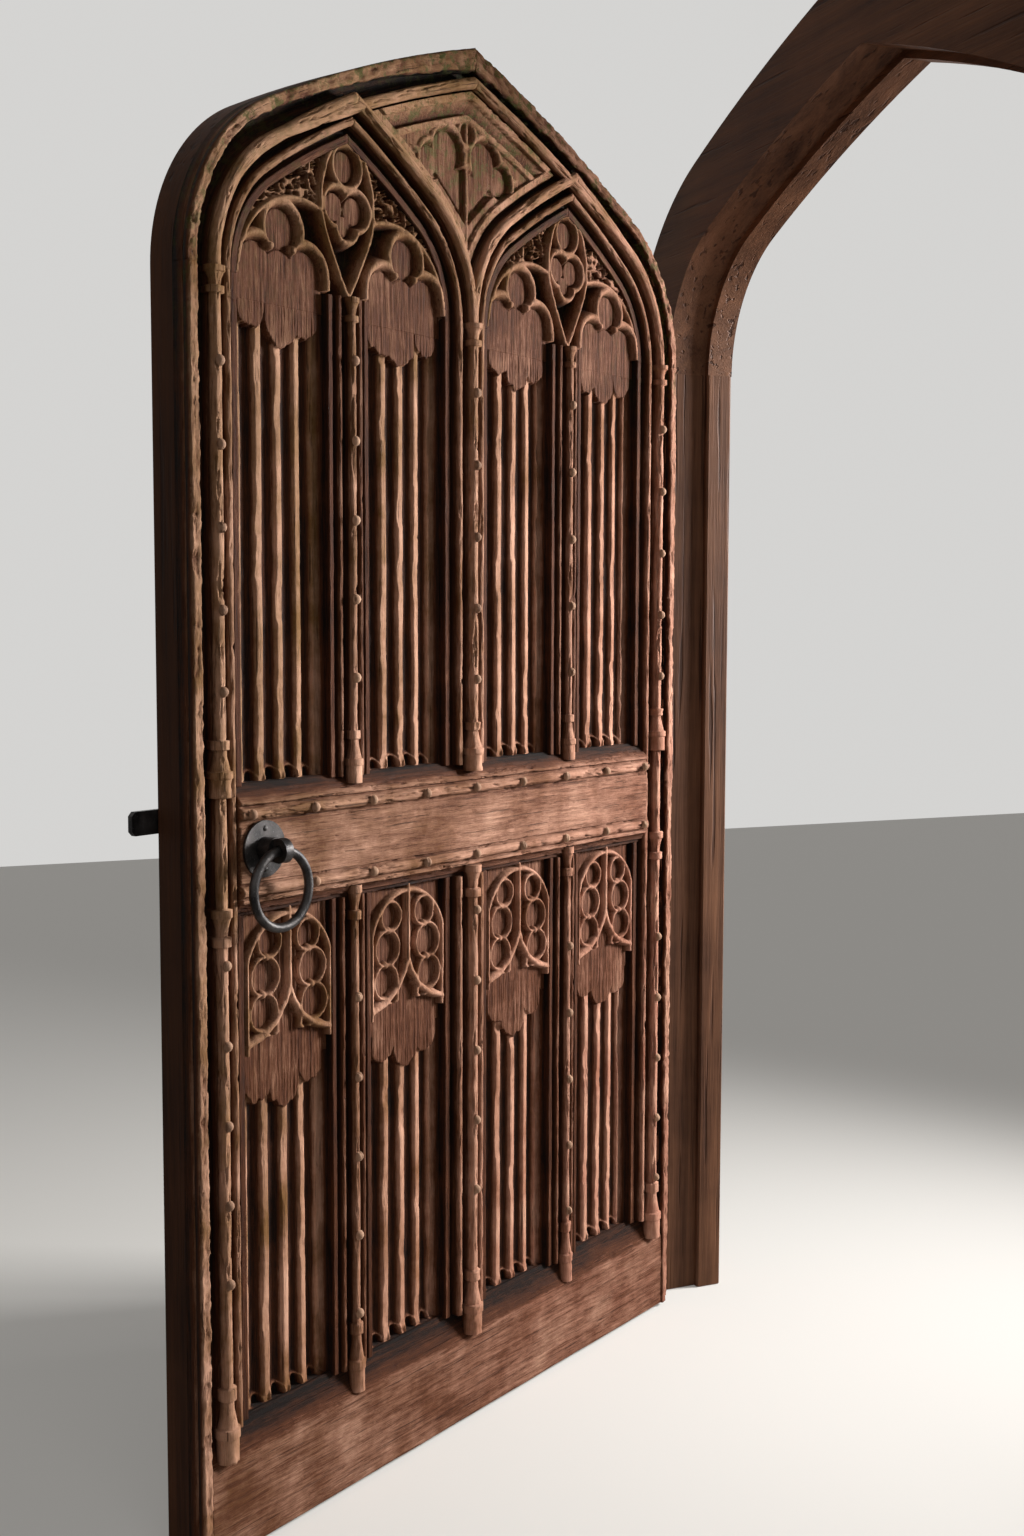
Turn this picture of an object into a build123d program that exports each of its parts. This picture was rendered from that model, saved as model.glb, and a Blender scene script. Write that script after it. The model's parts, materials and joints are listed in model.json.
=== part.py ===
from build123d import *
import os
from collections import namedtuple
from math import acos, cos, degrees, radians, sin, sqrt

os.makedirs("parts", exist_ok=True)

# Leaf outline: a four-centred arch on straight sides, heights from the floor
leaf_width = 1180
spring_height = 1740
haunch_radius = 260
haunch_turn = 63.4
crown_arc = 2800
floor_gap = 6

# Layers of the leaf, as depths behind its carved outer face
leaf_thickness = 75
rim_depth = 14
ground_depth = 30
board_depth = 34
valley_depth = 44
back_depth = 50

# Ironwork that sets how the leaf hangs
strap_thickness = 7
strap_width = 52
strap_length = 850
strap_heights = {"lower": 150, "upper": 1480}
pin_radius = 10.5
pin_clearance = 0.08
pin_head = 9
pin_beyond_edge = 46
swing_angle = 60.3
leaf_proud = 1.5
pintle_plate_height = 170
pintle_plate_width = 44
pintle_plate_thickness = 6
pintle_shoulder = 22
working_gap = 0.4

# Ledges across the inner face, each with its lower and upper edge
ledge_heights = {"foot": (6, 240), "lock": (930, 1090), "high": (1400, 1560)}

# Frame timbers
rebate_gap = 5
stop_gap = 4.5
stop_width = 12
frame_depth = 128
frame_face = 132
frame_arris = 3
frame_peg_radius = 9
frame_peg_length = 70
frame_peg_drop = 55

# Shafts and their mouldings, as distances from the shaft's own centre line
outer_shaft_inset = 49
major_half = 58
minor_half = 45
nose_radius = 9
nose_neck = 12
roll_offset = 27
roll_radius = 6
roll_front = 9
fillet_offset = 47
fillet_width = 12
fillet_front = 21
minor_scale = 0.8
minor_front = 9
stile_block = 60

# Rim strip: narrow on the stiles, widening towards the crown of the arch
rim_width = 17
rim_crown_arc = 1994

# Rails
bottom_rail_front = 6
bottom_rail_arris = 137
bottom_rail_step = 6
bottom_rail_top = 182
lock_rail_bottom = 887
lock_rail_top = 1066
lock_band_low = 932
lock_band_high = 1010
lock_roll_low = 921
lock_roll_high = 1026
lock_roll_radius = 9
lock_band_front = 6
lock_rebate_front = 9
lock_wash_low = 1038
lock_wash_front = 4
lock_lip = 6
lock_cavetto_back = 15
lock_cavetto_front = 3
lock_foot_front = 20
lock_rail_return = 34

# Linenfold
rib_count = 4
rib_pitch = 40
rib_radius = 11
fold_top_upper = 1690
fold_top_lower = 622
scallop_radius = 26
scallop_spread = 0.66
cave_height = 12
ogee_height = 30
ogee_shoulder = 13.5

# Tracery
big_arch_haunch = 205
big_arch_turn = 56
big_arch_crown_arc = 1330
arch_band = 53
tracery_front = 20
foil_front = 26
bar_width = 7
side_bar = 6
foil_rim = 7
lower_foil_rim = 6

# Upper foils, each with its place across, its height over the springing and its radius
trefoil = ((0, 72, 33), (-45, 17, 38), (45, 17, 38), (0, 22, 30))
dagger = ((0, 184, 28), (-21, 126, 25), (21, 126, 25), (0, 100, 22))

# Upper bars: points of the ogee beside the middle line and of the arch over each light
ogee_bar = ((0, 4), (30, 55), (54, 110), (46, 175), (4, 235))
light_arch = ((214, 18), (158, 102), (55, 112))

# Lower heads: lobes by distance from the light's side, drop below the rail and radius
lobes = ((46, 44, 21), (37, 92, 25), (34, 141, 24))
hood_foil = (29, 200, 24)
middle_foils = ((165, 21), (200, 30))
head_height = 200
head_arch_rise = 10
head_arch_foot = 72
stem_fork = 112
branch_middle = (26, 157)
branch_foot = 184

# Crown: its face, mouldings under the leaf's arch and over the big arches, a stem and three lobes
crown_front = 24
crown_field = 31
crown_half = 225
crown_fillet = 10
crown_fillet_front = 12
crown_hollow = 22
crown_hollow_front = 20
crown_inner_front = 17
crown_band = 18
crown_band_front = 16
crown_stem = 9
crown_lobes = ((62, 155, 34), (-62, 155, 34), (0, 120, 15))
crown_point = (104, 160, 222)

# Capitals and bases, with the levels and widths of their members as shares of the whole
capital_height = 34
capital_radius = 15
capital_abacus = 0.22
capital_bell = 0.75
capital_waist = 0.9
base_height = 104
base_radius = 18
base_proud = 7.2
base_block = 0.9
base_block_top = 0.34
base_ring_top = 0.46
base_bell_top = 0.84
base_waist = 0.85
base_collar = 0.74
upper_base_height = 76
upper_base_drop = 14
low_capital_height = 50
low_capital_rise = 16
seat_gap = 1.2

# Round-headed studs along the shafts and rolls
stud_radius = 7.5
stud_height = 6.5
stud_shank_radius = 4
stud_shank_length = 11
stud_fit = 0.03
stud_runs = (
    (392, 109, 1192, 107),
    (262, 119, 1204, 112),
    (380, 113, 1195, 110),
    (268, 116, 1200, 111),
    (258, 113, 1187, 110),
)
studs_per_run = 5
rail_stud_count = 9
rail_stud_end = 100

# Ring handle and latch
plate_radius = 39
plate_thickness = 4
handle_inset = 125
handle_height = 977
ring_radius = 52.5
ring_wire = 6.5
eye_stand_off = 28
eye_width = 14
eye_clearance = 0.9
boss_radius = 17
spindle_radius = 9
spindle_clearance = 0.08
latch_height = 1020
latch_width = 32
latch_thickness = 8
latch_stand_off = 3
latch_pivot_inset = 420
latch_reach = 42
latch_pin_radius = 7
latch_head_radius = 13
lifter_reach = 45
lifter_tip_radius = 6
lifter_thickness = 8
lifter_hub_radius = 16
guide_inset = 40
guide_width = 24
guide_wall = 10
guide_travel = 46
catch_width = 34
catch_wall = 8
catch_plate = 2
catch_plate_beyond = 40
catch_inset = 10
catch_slope = 6

# Nails
nail_radius = 9
nail_height = 4
nail_crown = 0.35
nail_pitch = 120
plate_nail_radius = 4
plate_nail_height = 2
plate_nail_spread = 28

# Planes on the leaf: its face, a level across it and a section through it
pin_behind_leaf = pin_radius + pin_clearance + strap_thickness
leaf_right = Vector(-cos(radians(swing_angle)), sin(radians(swing_angle)), 0)
leaf_out = Vector(sin(radians(swing_angle)), cos(radians(swing_angle)), 0)
up = Vector(0, 0, 1)
pin_line = Vector(-leaf_width / 2 - pin_beyond_edge, -pin_behind_leaf - leaf_proud, 0)
leaf_origin = (
    pin_line - leaf_right * (leaf_width / 2 + pin_beyond_edge) + leaf_out * (leaf_thickness + pin_behind_leaf)
)


def face_at(depth):
    return Plane(origin=leaf_origin - leaf_out * depth, x_dir=leaf_right, z_dir=leaf_out)


def level_at(height):
    return Plane(origin=leaf_origin + up * height, x_dir=leaf_right, z_dir=up)


def section_at(across):
    return Plane(origin=leaf_origin + leaf_right * across, x_dir=leaf_out * -1, z_dir=leaf_right)


# An arch has a half width, a haunch arc with its turn, a crown arc that leaves it on its tangent, and a centre line
Arch = namedtuple("Arch", "half haunch turn crown centre")

leaf_arch = Arch(leaf_width / 2, haunch_radius, haunch_turn, crown_arc, 0)
rim_arch = Arch(leaf_width / 2 - rim_width, haunch_radius - rim_width, haunch_turn, rim_crown_arc, 0)
frame_arch = Arch(
    leaf_width / 2 + rebate_gap, haunch_radius + rebate_gap, haunch_turn, crown_arc + rebate_gap, 0
)
outer_shaft = leaf_width / 2 - outer_shaft_inset
side_shaft = outer_shaft / 2
sides = {"free": -1, "hinge": 1}
big_arches = {
    side: Arch(side_shaft, big_arch_haunch, big_arch_turn, big_arch_crown_arc, sign * side_shaft)
    for side, sign in sides.items()
}


def crown_offset(arch):
    # How far the crown arc's centre lies beyond the arch's middle line
    return (arch.crown - arch.haunch) * cos(radians(arch.turn)) - arch.half + arch.haunch


def crown_turn(arch, inset=0.0):
    return degrees(acos(crown_offset(arch) / (arch.crown - inset))) - arch.turn


def apex_height(arch):
    centre_height = spring_height - (arch.crown - arch.haunch) * sin(radians(arch.turn))
    return centre_height + sqrt(arch.crown**2 - crown_offset(arch) ** 2)


leaf_apex = apex_height(leaf_arch)


def arched_face(arch, inset=0.0, foot=None, mode=Mode.ADD):
    # The region under the arch, drawn inwards from its line by the inset, down to the foot
    edge = arch.centre + arch.half - inset
    with BuildLine() as outline:
        if foot is not None:
            Line((edge, foot), (edge, spring_height))
        haunch = JernArc((edge, spring_height), (0, 1), arch.haunch - inset, arch.turn)
        JernArc(haunch @ 1, haunch % 1, arch.crown - inset, crown_turn(arch, inset))
        mirror(about=Plane.YZ.offset(arch.centre))
        base = spring_height if foot is None else foot
        Line((2 * arch.centre - edge, base), (edge, base))
    make_face(outline.edges(), mode=mode)


def span_face(left, right, low, high, mode=Mode.ADD):
    with Locations(((left + right) / 2, (low + high) / 2)):
        Rectangle(abs(right - left), high - low, mode=mode)


def keep_half(sign):
    # Keeps the part of a sketch on one side of the leaf's centre line
    span_face(0, sign * leaf_width, 0, 2 * leaf_apex, Mode.INTERSECT)


def drop_crumbs(piece):
    # Takes off the crumbs that a cut leaves beside the piece itself
    for crumb in piece.solids().sort_by(SortBy.VOLUME)[:-1]:
        add(crumb, mode=Mode.SUBTRACT)


def finish(piece, name):
    piece.part.label = name
    export_step(piece.part, f"parts/{name}.step")


# Frame: two jambs up to the springing, two curved head timbers above it, and their pegs
rebate_depth = leaf_thickness - leaf_proud + stop_gap
rebate_half = leaf_width / 2 + rebate_gap
stop_half = rebate_half - stop_width
outer_half = rebate_half + frame_face
peg_line = rebate_half + frame_face / 2
frame_signs = {"hinge": -1, "latch": 1}


def peg_holes(sign, height, radius, mode=Mode.SUBTRACT):
    with BuildSketch(Plane.XZ) as hole:
        with Locations((sign * peg_line, height)):
            Circle(radius)
    extrude(hole.sketch, amount=-frame_peg_length, mode=mode)


for side, sign in frame_signs.items():
    with BuildPart() as jamb:
        with BuildSketch(Plane.XY):
            span_face(sign * outer_half, sign * stop_half, 0, frame_depth)
            span_face(sign * rebate_half, sign * stop_half, 0, rebate_depth, Mode.SUBTRACT)
        extrude(amount=spring_height)
        stop_edges = jamb.edges().filter_by(Axis.Z).sort_by(Axis.X, reverse=sign < 0)[:2]
        chamfer(stop_edges, frame_arris)
        peg_holes(sign, spring_height - frame_peg_drop, frame_peg_radius + stud_fit)
    finish(jamb, f"jamb_{side}")

    with BuildPart() as head:
        with BuildSketch(Plane.XZ.offset(-frame_depth)):
            arched_face(frame_arch, -frame_face)
            arched_face(frame_arch, stop_width, mode=Mode.SUBTRACT)
            keep_half(sign)
        extrude(amount=frame_depth)
        with BuildSketch(Plane.XZ):
            arched_face(frame_arch)
        extrude(amount=-rebate_depth, mode=Mode.SUBTRACT)
        peg_holes(sign, spring_height + frame_peg_drop, frame_peg_radius + stud_fit)
    finish(head, f"frame_head_{side}")

with BuildPart() as frame_pegs:
    for sign in frame_signs.values():
        for height in (spring_height - frame_peg_drop, spring_height + frame_peg_drop):
            peg_holes(sign, height, frame_peg_radius, Mode.ADD)
finish(frame_pegs, "frame_pegs")


# Pintles: a plate on the hinge jamb, a shoulder and the upright pin
for name, height in strap_heights.items():
    eye_foot = height - strap_width / 2
    shoulder_top = eye_foot - working_gap
    with BuildPart() as pintle:
        with BuildSketch(Plane.XY.offset(shoulder_top - pintle_shoulder)):
            with Locations((pin_line.X, pin_line.Y)):
                Circle(pin_behind_leaf)
            span_face(pin_line.X - pin_behind_leaf, pin_line.X + pin_behind_leaf, pin_line.Y, 0)
        extrude(amount=pintle_shoulder)
        with BuildSketch(Plane.XY.offset(shoulder_top - pintle_shoulder / 2)):
            with Locations((pin_line.X, pin_line.Y)):
                Circle(pin_radius)
        extrude(amount=pintle_shoulder / 2 + strap_width + 2 * working_gap + pin_head)
        with BuildSketch(Plane.XZ):
            span_face(
                pin_line.X - pintle_plate_width / 2,
                pin_line.X + pintle_plate_width / 2,
                shoulder_top - min(pintle_plate_height, shoulder_top - floor_gap),
                shoulder_top,
            )
        extrude(amount=pintle_plate_thickness)
    finish(pintle, f"pintle_{name}")


def stud_front(index):
    return 0 if index % 2 == 0 else minor_front


shafts = [-outer_shaft, -side_shaft, 0, side_shaft, outer_shaft]
half_widths = [major_half, minor_half, major_half, minor_half, major_half]
scales = [1.0, minor_scale, 1.0, minor_scale, 1.0]


def run_places(index, zone):
    low, low_pitch, high, high_pitch = stud_runs[index]
    first, pitch = (low, low_pitch) if zone == "lower" else (high, high_pitch)
    return [(shafts[index], first + i * pitch) for i in range(studs_per_run)]


def stud_holes(places, front):
    # Holes for the shanks of a row of studs
    with BuildSketch(face_at(front)) as holes:
        with Locations(*places):
            Circle(stud_shank_radius + stud_fit)
    extrude(holes.sketch, amount=-stud_shank_length, mode=Mode.SUBTRACT)


def nose_section(centre, front, scale=1.0):
    # A round nose on a neck: across the leaf and into its depth
    radius = nose_radius * scale
    with Locations((centre, front + radius)):
        Circle(radius)
    half_neck = nose_neck * scale / 2
    span_face(centre - half_neck, centre + half_neck, front + radius, board_depth)


def roll_section(centre, front, scale=1.0):
    radius = roll_radius * scale
    with Locations((centre, front + radius)):
        Circle(radius)
    span_face(centre - radius * 0.8, centre + radius * 0.8, front + radius, board_depth)


def fillet_section(centre, front, scale=1.0):
    half = fillet_width * scale / 2
    span_face(centre - half, centre + half, front, board_depth)


def flank_section(centre, flank, front=0.0, scale=1.0):
    # The roll and the fillet beside a nose, joined by the floor of their hollows
    step = minor_scale if scale < 1 else 1
    roll_section(centre + flank * roll_offset * scale, front + roll_front * step, scale)
    fillet_section(centre + flank * fillet_offset * scale, fillet_front, scale)
    outer = (fillet_offset + fillet_width / 2) * scale
    span_face(centre, centre + flank * outer, ground_depth, board_depth)


def shaft_axis(centre, front, scale):
    return leaf_origin + leaf_right * centre - leaf_out * (front + nose_radius * scale)


def turned(axis, shape, low, high):
    # A stretch of an eight-sided turning between two heights, tapering if it has two radii
    sections = []
    for radius, height in zip(shape, (low, high)):
        with BuildSketch(Plane(origin=axis + up * height, x_dir=leaf_right, z_dir=up)) as section:
            RegularPolygon(radius, 8, rotation=22.5)
        sections.append(section.sketch.face())
    loft(sections)


def block_half(scale):
    # Half the width of the square block under a shaft's base
    return base_radius * scale * base_block


def add_capital(centre, front, top, height, scale=1.0):
    # An abacus, a bell between two rings, and the shaft's neck below
    axis = shaft_axis(centre, front, scale)
    wide = capital_radius * scale
    abacus = top - height * capital_abacus
    ring = top - height * capital_bell
    turned(axis, (wide, wide), abacus, top)
    turned(axis, (nose_radius * scale, wide * capital_waist), ring, abacus)
    turned(axis, (wide * capital_waist, wide * capital_waist), top - height, ring)


def add_base(centre, front, foot, height, scale=1.0):
    # A plinth block, a bell between two rings, and the shaft above
    axis = shaft_axis(centre, front, scale)
    wide = base_radius * scale
    block, ring, bell = [foot + height * share for share in (base_block_top, base_ring_top, base_bell_top)]
    with BuildSketch(level_at(foot)) as plinth:
        span_face(centre - block_half(scale), centre + block_half(scale), front - base_proud * scale, board_depth)
    extrude(plinth.sketch, amount=height * base_block_top)
    turned(axis, (wide, wide), block, ring)
    turned(axis, (wide * base_waist, nose_radius * scale), ring, bell)
    turned(axis, (wide * base_collar, wide * base_collar), bell, foot + height)


def shaft_seats(foot, height):
    # Room in a rail's moulding for the blocks at the ends of the shafts
    with BuildSketch(face_at(board_depth)) as seats:
        for centre, scale in zip(shafts, scales):
            half_seat = block_half(scale) + seat_gap
            span_face(centre - half_seat, centre + half_seat, foot, foot + height)
    extrude(seats.sketch, amount=leaf_thickness, mode=Mode.SUBTRACT)


base_foot = bottom_rail_arris + bottom_rail_step
upper_base_foot = lock_rail_top - upper_base_drop
low_capital_top = lock_rail_bottom + low_capital_rise

# Rim strip: narrow on the stiles, wider round the arch
for side, sign in sides.items():
    edge = sign * leaf_width / 2
    with BuildPart() as rim:
        with BuildSketch(face_at(rim_depth)):
            span_face(edge, edge - sign * rim_width, floor_gap, spring_height)
        extrude(amount=rim_depth)
    finish(rim, f"rim_{side}")
    with BuildPart() as rim_head:
        with BuildSketch(face_at(rim_depth)):
            arched_face(leaf_arch)
            arched_face(rim_arch, mode=Mode.SUBTRACT)
            keep_half(sign)
        extrude(amount=rim_depth)
    finish(rim_head, f"rim_head_{side}")

# Stiles: rim seat, deep hollow, studded nose and the inner roll and fillet
for side, sign in sides.items():
    edge = sign * leaf_width / 2
    index = 0 if side == "free" else 4
    with BuildPart() as stile:
        with BuildSketch(level_at(bottom_rail_top)):
            span_face(edge, edge - sign * rim_width, rim_depth, board_depth)
            span_face(edge, shafts[index], ground_depth, board_depth)
            nose_section(shafts[index], 0)
            flank_section(shafts[index], -sign)
        extrude(amount=spring_height - bottom_rail_top)
        with BuildSketch(level_at(floor_gap)):
            span_face(edge, edge - sign * rim_width, rim_depth, board_depth)
        extrude(amount=bottom_rail_top - floor_gap)
        with BuildSketch(face_at(board_depth)):
            span_face(0, shafts[index] - sign * lock_rail_return, lock_rail_bottom, lock_rail_top)
        extrude(amount=leaf_thickness, mode=Mode.SUBTRACT)
        add_capital(shafts[index], 0, spring_height, capital_height)
        add_capital(shafts[index], 0, low_capital_top, low_capital_height)
        add_base(shafts[index], 0, base_foot, base_height)
        add_base(shafts[index], 0, upper_base_foot, upper_base_height)
        stud_holes(run_places(index, "lower") + run_places(index, "upper"), 0)
    finish(stile, f"stile_{side}")

spindle_across = handle_inset - leaf_width / 2


def spindle_hole():
    # The handle's spindle runs through every layer of the leaf
    with BuildSketch(face_at(leaf_thickness)) as hole:
        with Locations((spindle_across, handle_height)):
            Circle(spindle_radius + spindle_clearance)
    extrude(hole.sketch, amount=leaf_thickness, mode=Mode.SUBTRACT)


# Lock rail: wash, studded roll, plain band, studded roll and cavetto
rail_half = outer_shaft - lock_rail_return
rail_studs = [
    ((i / (rail_stud_count - 1) * 2 - 1) * (leaf_width / 2 - rail_stud_end)) for i in range(rail_stud_count)
]
with BuildPart() as lock_rail:
    with BuildSketch(section_at(-rail_half)):
        with BuildLine():
            foot_line = Polyline(
                (board_depth, lock_rail_top),
                (board_depth, lock_rail_bottom),
                (lock_foot_front, lock_rail_bottom),
                (lock_foot_front, lock_rail_bottom + lock_lip),
                (lock_cavetto_back, lock_rail_bottom + lock_lip),
            )
            roll_foot = lock_roll_low - lock_roll_radius
            cavetto = JernArc(
                foot_line @ 1, (0, 1), lock_cavetto_back - lock_cavetto_front, 90
            )
            Polyline(
                cavetto @ 1,
                (lock_cavetto_front, roll_foot),
                (lock_rebate_front, roll_foot),
                (lock_rebate_front, lock_band_low),
                (lock_band_front, lock_band_low),
                (lock_band_front, lock_band_high),
                (lock_rebate_front, lock_band_high),
                (lock_rebate_front, lock_wash_low),
                (lock_wash_front, lock_wash_low),
                (lock_wash_front, lock_wash_low + lock_lip),
                (ground_depth, lock_rail_top),
                foot_line @ 0,
            )
        make_face()
        with Locations((lock_roll_radius, lock_roll_low), (lock_roll_radius, lock_roll_high)):
            Circle(lock_roll_radius)
    extrude(amount=2 * rail_half)
    shaft_seats(upper_base_foot, upper_base_drop)
    shaft_seats(lock_rail_bottom, low_capital_rise)
    stud_holes([(place, lock_roll_high) for place in rail_studs], 0)
    stud_holes([(place, lock_roll_low) for place in rail_studs[1:]], 0)
    spindle_hole()
finish(lock_rail, "lock_rail")

# Bottom rail: a plain board with a wash on its top edge
with BuildPart() as bottom_rail:
    with BuildSketch(section_at(rim_width - leaf_width / 2)):
        with BuildLine():
            Polyline(
                (board_depth, floor_gap),
                (bottom_rail_front, floor_gap),
                (bottom_rail_front, bottom_rail_arris),
                (bottom_rail_front + bottom_rail_step, base_foot),
                (ground_depth, bottom_rail_top),
                (board_depth, bottom_rail_top),
                close=True,
            )
        make_face()
    extrude(amount=leaf_width - 2 * rim_width)
    shaft_seats(base_foot, bottom_rail_top - base_foot)
finish(bottom_rail, "bottom_rail")

# Shafts between the lights, each in an upper and a lower length
for index, name in ((1, "free"), (2, "middle"), (3, "hinge")):
    front = stud_front(index)
    for zone, low, high in (
        ("upper", lock_rail_top, spring_height),
        ("lower", bottom_rail_top, lock_rail_bottom),
    ):
        with BuildPart() as shaft:
            with BuildSketch(level_at(low)):
                nose_section(shafts[index], front, scales[index])
                flank_section(shafts[index], 1, front, scales[index])
                flank_section(shafts[index], -1, front, scales[index])
            extrude(amount=high - low)
            if zone == "upper":
                add_capital(shafts[index], front, spring_height, capital_height, scales[index])
                add_base(shafts[index], front, upper_base_foot, upper_base_height, scales[index])
            else:
                add_capital(shafts[index], front, low_capital_top, low_capital_height, scales[index])
                add_base(shafts[index], front, base_foot, base_height, scales[index])
            stud_holes(run_places(index, zone), front)
        finish(shaft, f"shaft_{zone}_{name}")


def arch_run(arch, sign, draw):
    # Sweeps a section round one half of an arch, from its springing to its mitre at the apex
    haunch_centre = leaf_origin + leaf_right * (arch.centre + sign * (arch.half - arch.haunch)) + up * spring_height
    for start, radius, turn in (
        (0, arch.haunch, arch.turn),
        (arch.turn, arch.crown, crown_turn(arch) + 4),
    ):
        outward = leaf_right * (sign * cos(radians(start))) + up * sin(radians(start))
        arc_centre = haunch_centre + outward * (arch.haunch - radius)
        plane = Plane(origin=haunch_centre, x_dir=outward, z_dir=outward.cross(leaf_out * -1))
        with BuildSketch(plane) as section:
            draw()
        revolve(section.sketch, axis=Axis(arc_centre, leaf_out * sign), revolution_arc=turn)


def arch_mitre(arch, sign):
    return Plane(origin=leaf_origin + leaf_right * arch.centre, z_dir=leaf_right * sign)


# Leaf head: rim seat, hollow ground and the nose of the outer order
for side, sign in sides.items():
    with BuildPart() as leaf_head:
        arch_run(leaf_arch, sign, lambda: nose_section(haunch_radius - outer_shaft_inset, 0))
        split(bisect_by=arch_mitre(leaf_arch, sign), keep=Keep.TOP)
        with BuildSketch(face_at(board_depth)):
            arched_face(leaf_arch)
            arched_face(leaf_arch, stile_block, mode=Mode.SUBTRACT)
            keep_half(sign)
        extrude(amount=board_depth - ground_depth)
        with BuildSketch(face_at(board_depth)):
            arched_face(leaf_arch)
            arched_face(rim_arch, mode=Mode.SUBTRACT)
            keep_half(sign)
        extrude(amount=board_depth - rim_depth)
    finish(leaf_head, f"leaf_head_{side}")


def big_arch_section():
    nose_section(big_arch_haunch, 0)
    flank_section(big_arch_haunch, -1)


# Big arches over each pair of lights, fitted inside the outer order and meeting on the middle line
for side, sign in sides.items():
    arch = big_arches[side]
    with BuildPart() as big_arch:
        arch_run(arch, sign, big_arch_section)
        split(bisect_by=arch_mitre(arch, sign), keep=Keep.TOP)
        mirror(about=arch_mitre(arch, sign))
        with BuildSketch(face_at(leaf_thickness)):
            arched_face(leaf_arch, stile_block)
            keep_half(sign)
        extrude(amount=2 * leaf_thickness, mode=Mode.INTERSECT)
        drop_crumbs(big_arch)
    finish(big_arch, f"big_arch_{side}")


def foils(circles, centre, grow=0.0, mode=Mode.ADD):
    for across, height, radius in circles:
        with Locations((centre + across, height)):
            Circle(radius + grow, mode=mode)


# Upper tracery: ogee bars, cusped foils and a dagger in the head of each big arch
light_half = (side_shaft - major_half - minor_half) / 2
light_offset = minor_half + light_half
for side, sign in sides.items():
    arch = big_arches[side]
    foil_list = [(across, spring_height + height, radius) for across, height, radius in dagger]
    for flank in (-1, 1):
        foil_list += [
            (flank * light_offset + across, spring_height + height, radius) for across, height, radius in trefoil
        ]
    with BuildPart() as tracery:
        with BuildSketch(face_at(board_depth)):
            foils(foil_list, arch.centre, foil_rim)
            foils(foil_list, arch.centre, 0, Mode.SUBTRACT)
            arched_face(arch, arch_band, mode=Mode.INTERSECT)
        extrude(amount=board_depth - foil_front)
        with BuildSketch(face_at(board_depth)):
            with BuildLine():
                for flank in (-1, 1):
                    Spline(*[(arch.centre + flank * across, spring_height + rise) for across, rise in ogee_bar])
                    ThreePointArc(
                        *[(arch.centre + flank * across, spring_height + rise) for across, rise in light_arch]
                    )
            trace(line_width=bar_width)
            arched_face(arch, arch_band, mode=Mode.INTERSECT)
        extrude(amount=board_depth - tracery_front)
        drop_crumbs(tracery)
    finish(tracery, f"tracery_{side}")



def crown_moulding():
    # Fillet, hollow and inner fillet under the leaf's arch, from the outer side inwards
    edge = haunch_radius - stile_block
    hollow = edge - crown_fillet
    inner = hollow - crown_hollow
    with BuildLine() as outline:
        Polyline(
            (edge + crown_fillet, board_depth),
            (edge + crown_fillet, crown_fillet_front),
            (hollow, crown_fillet_front),
            (hollow, crown_hollow_front),
            (inner, crown_field),
            (inner, crown_inner_front),
            (inner - crown_fillet, crown_inner_front),
            (inner - crown_fillet, board_depth),
            close=True,
        )
    make_face(outline.edges())


def crown_edging():
    # A chamfered band over each big arch
    with BuildLine() as outline:
        Polyline(
            (big_arch_haunch, board_depth),
            (big_arch_haunch, crown_field),
            (big_arch_haunch + nose_radius, crown_field),
            (big_arch_haunch + crown_band, crown_band_front),
            (big_arch_haunch + crown_band + crown_fillet, crown_band_front),
            (big_arch_haunch + crown_band + crown_fillet, board_depth),
            close=True,
        )
    make_face(outline.edges())


# Crown: the space over the big arches, with mouldings round it, a stem and cusped lobes
lobe_places = [(across, leaf_apex - drop, radius) for across, drop, radius in crown_lobes]
with BuildSketch(face_at(board_depth)) as crown_space:
    arched_face(leaf_arch, stile_block)
    for arch in big_arches.values():
        arched_face(arch, -nose_radius, mode=Mode.SUBTRACT)
    span_face(-crown_half, crown_half, spring_height, leaf_apex, Mode.INTERSECT)


def crown_layer(front, draw):
    # One layer of the crown, kept inside its space
    with BuildSketch(face_at(board_depth)) as layer:
        draw()
        add(crown_space.sketch_local, mode=Mode.INTERSECT)
    extrude(layer.sketch, amount=board_depth - front)


def crown_slab():
    span_face(-crown_half, crown_half, spring_height, leaf_apex)


def crown_pocket():
    # The face round the lobes and the point under them
    crown_slab()
    foils(lobe_places, 0, 0, Mode.SUBTRACT)
    shoulder, shoulder_drop, point_drop = crown_point
    with BuildLine() as point:
        Polyline(
            (-shoulder, leaf_apex - shoulder_drop),
            (shoulder, leaf_apex - shoulder_drop),
            (0, leaf_apex - point_drop),
            close=True,
        )
    make_face(point.edges(), mode=Mode.SUBTRACT)


def crown_hoods():
    foils(lobe_places, 0, foil_rim)
    foils(lobe_places, 0, 0, Mode.SUBTRACT)
    span_face(-crown_stem / 2, crown_stem / 2, spring_height, leaf_apex)


with BuildPart() as crown:
    arch_run(leaf_arch, 1, crown_moulding)
    arch_run(big_arches["hinge"], -1, crown_edging)
    with BuildSketch(face_at(board_depth)) as half_space:
        add(crown_space.sketch_local)
        keep_half(1)
    extrude(half_space.sketch, amount=board_depth, mode=Mode.INTERSECT)
    mirror(about=arch_mitre(leaf_arch, 1))
    crown_layer(crown_field, crown_slab)
    crown_layer(crown_front, crown_pocket)
    crown_layer(tracery_front, crown_hoods)
    drop_crumbs(crown)
finish(crown, "crown_tracery")

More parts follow.
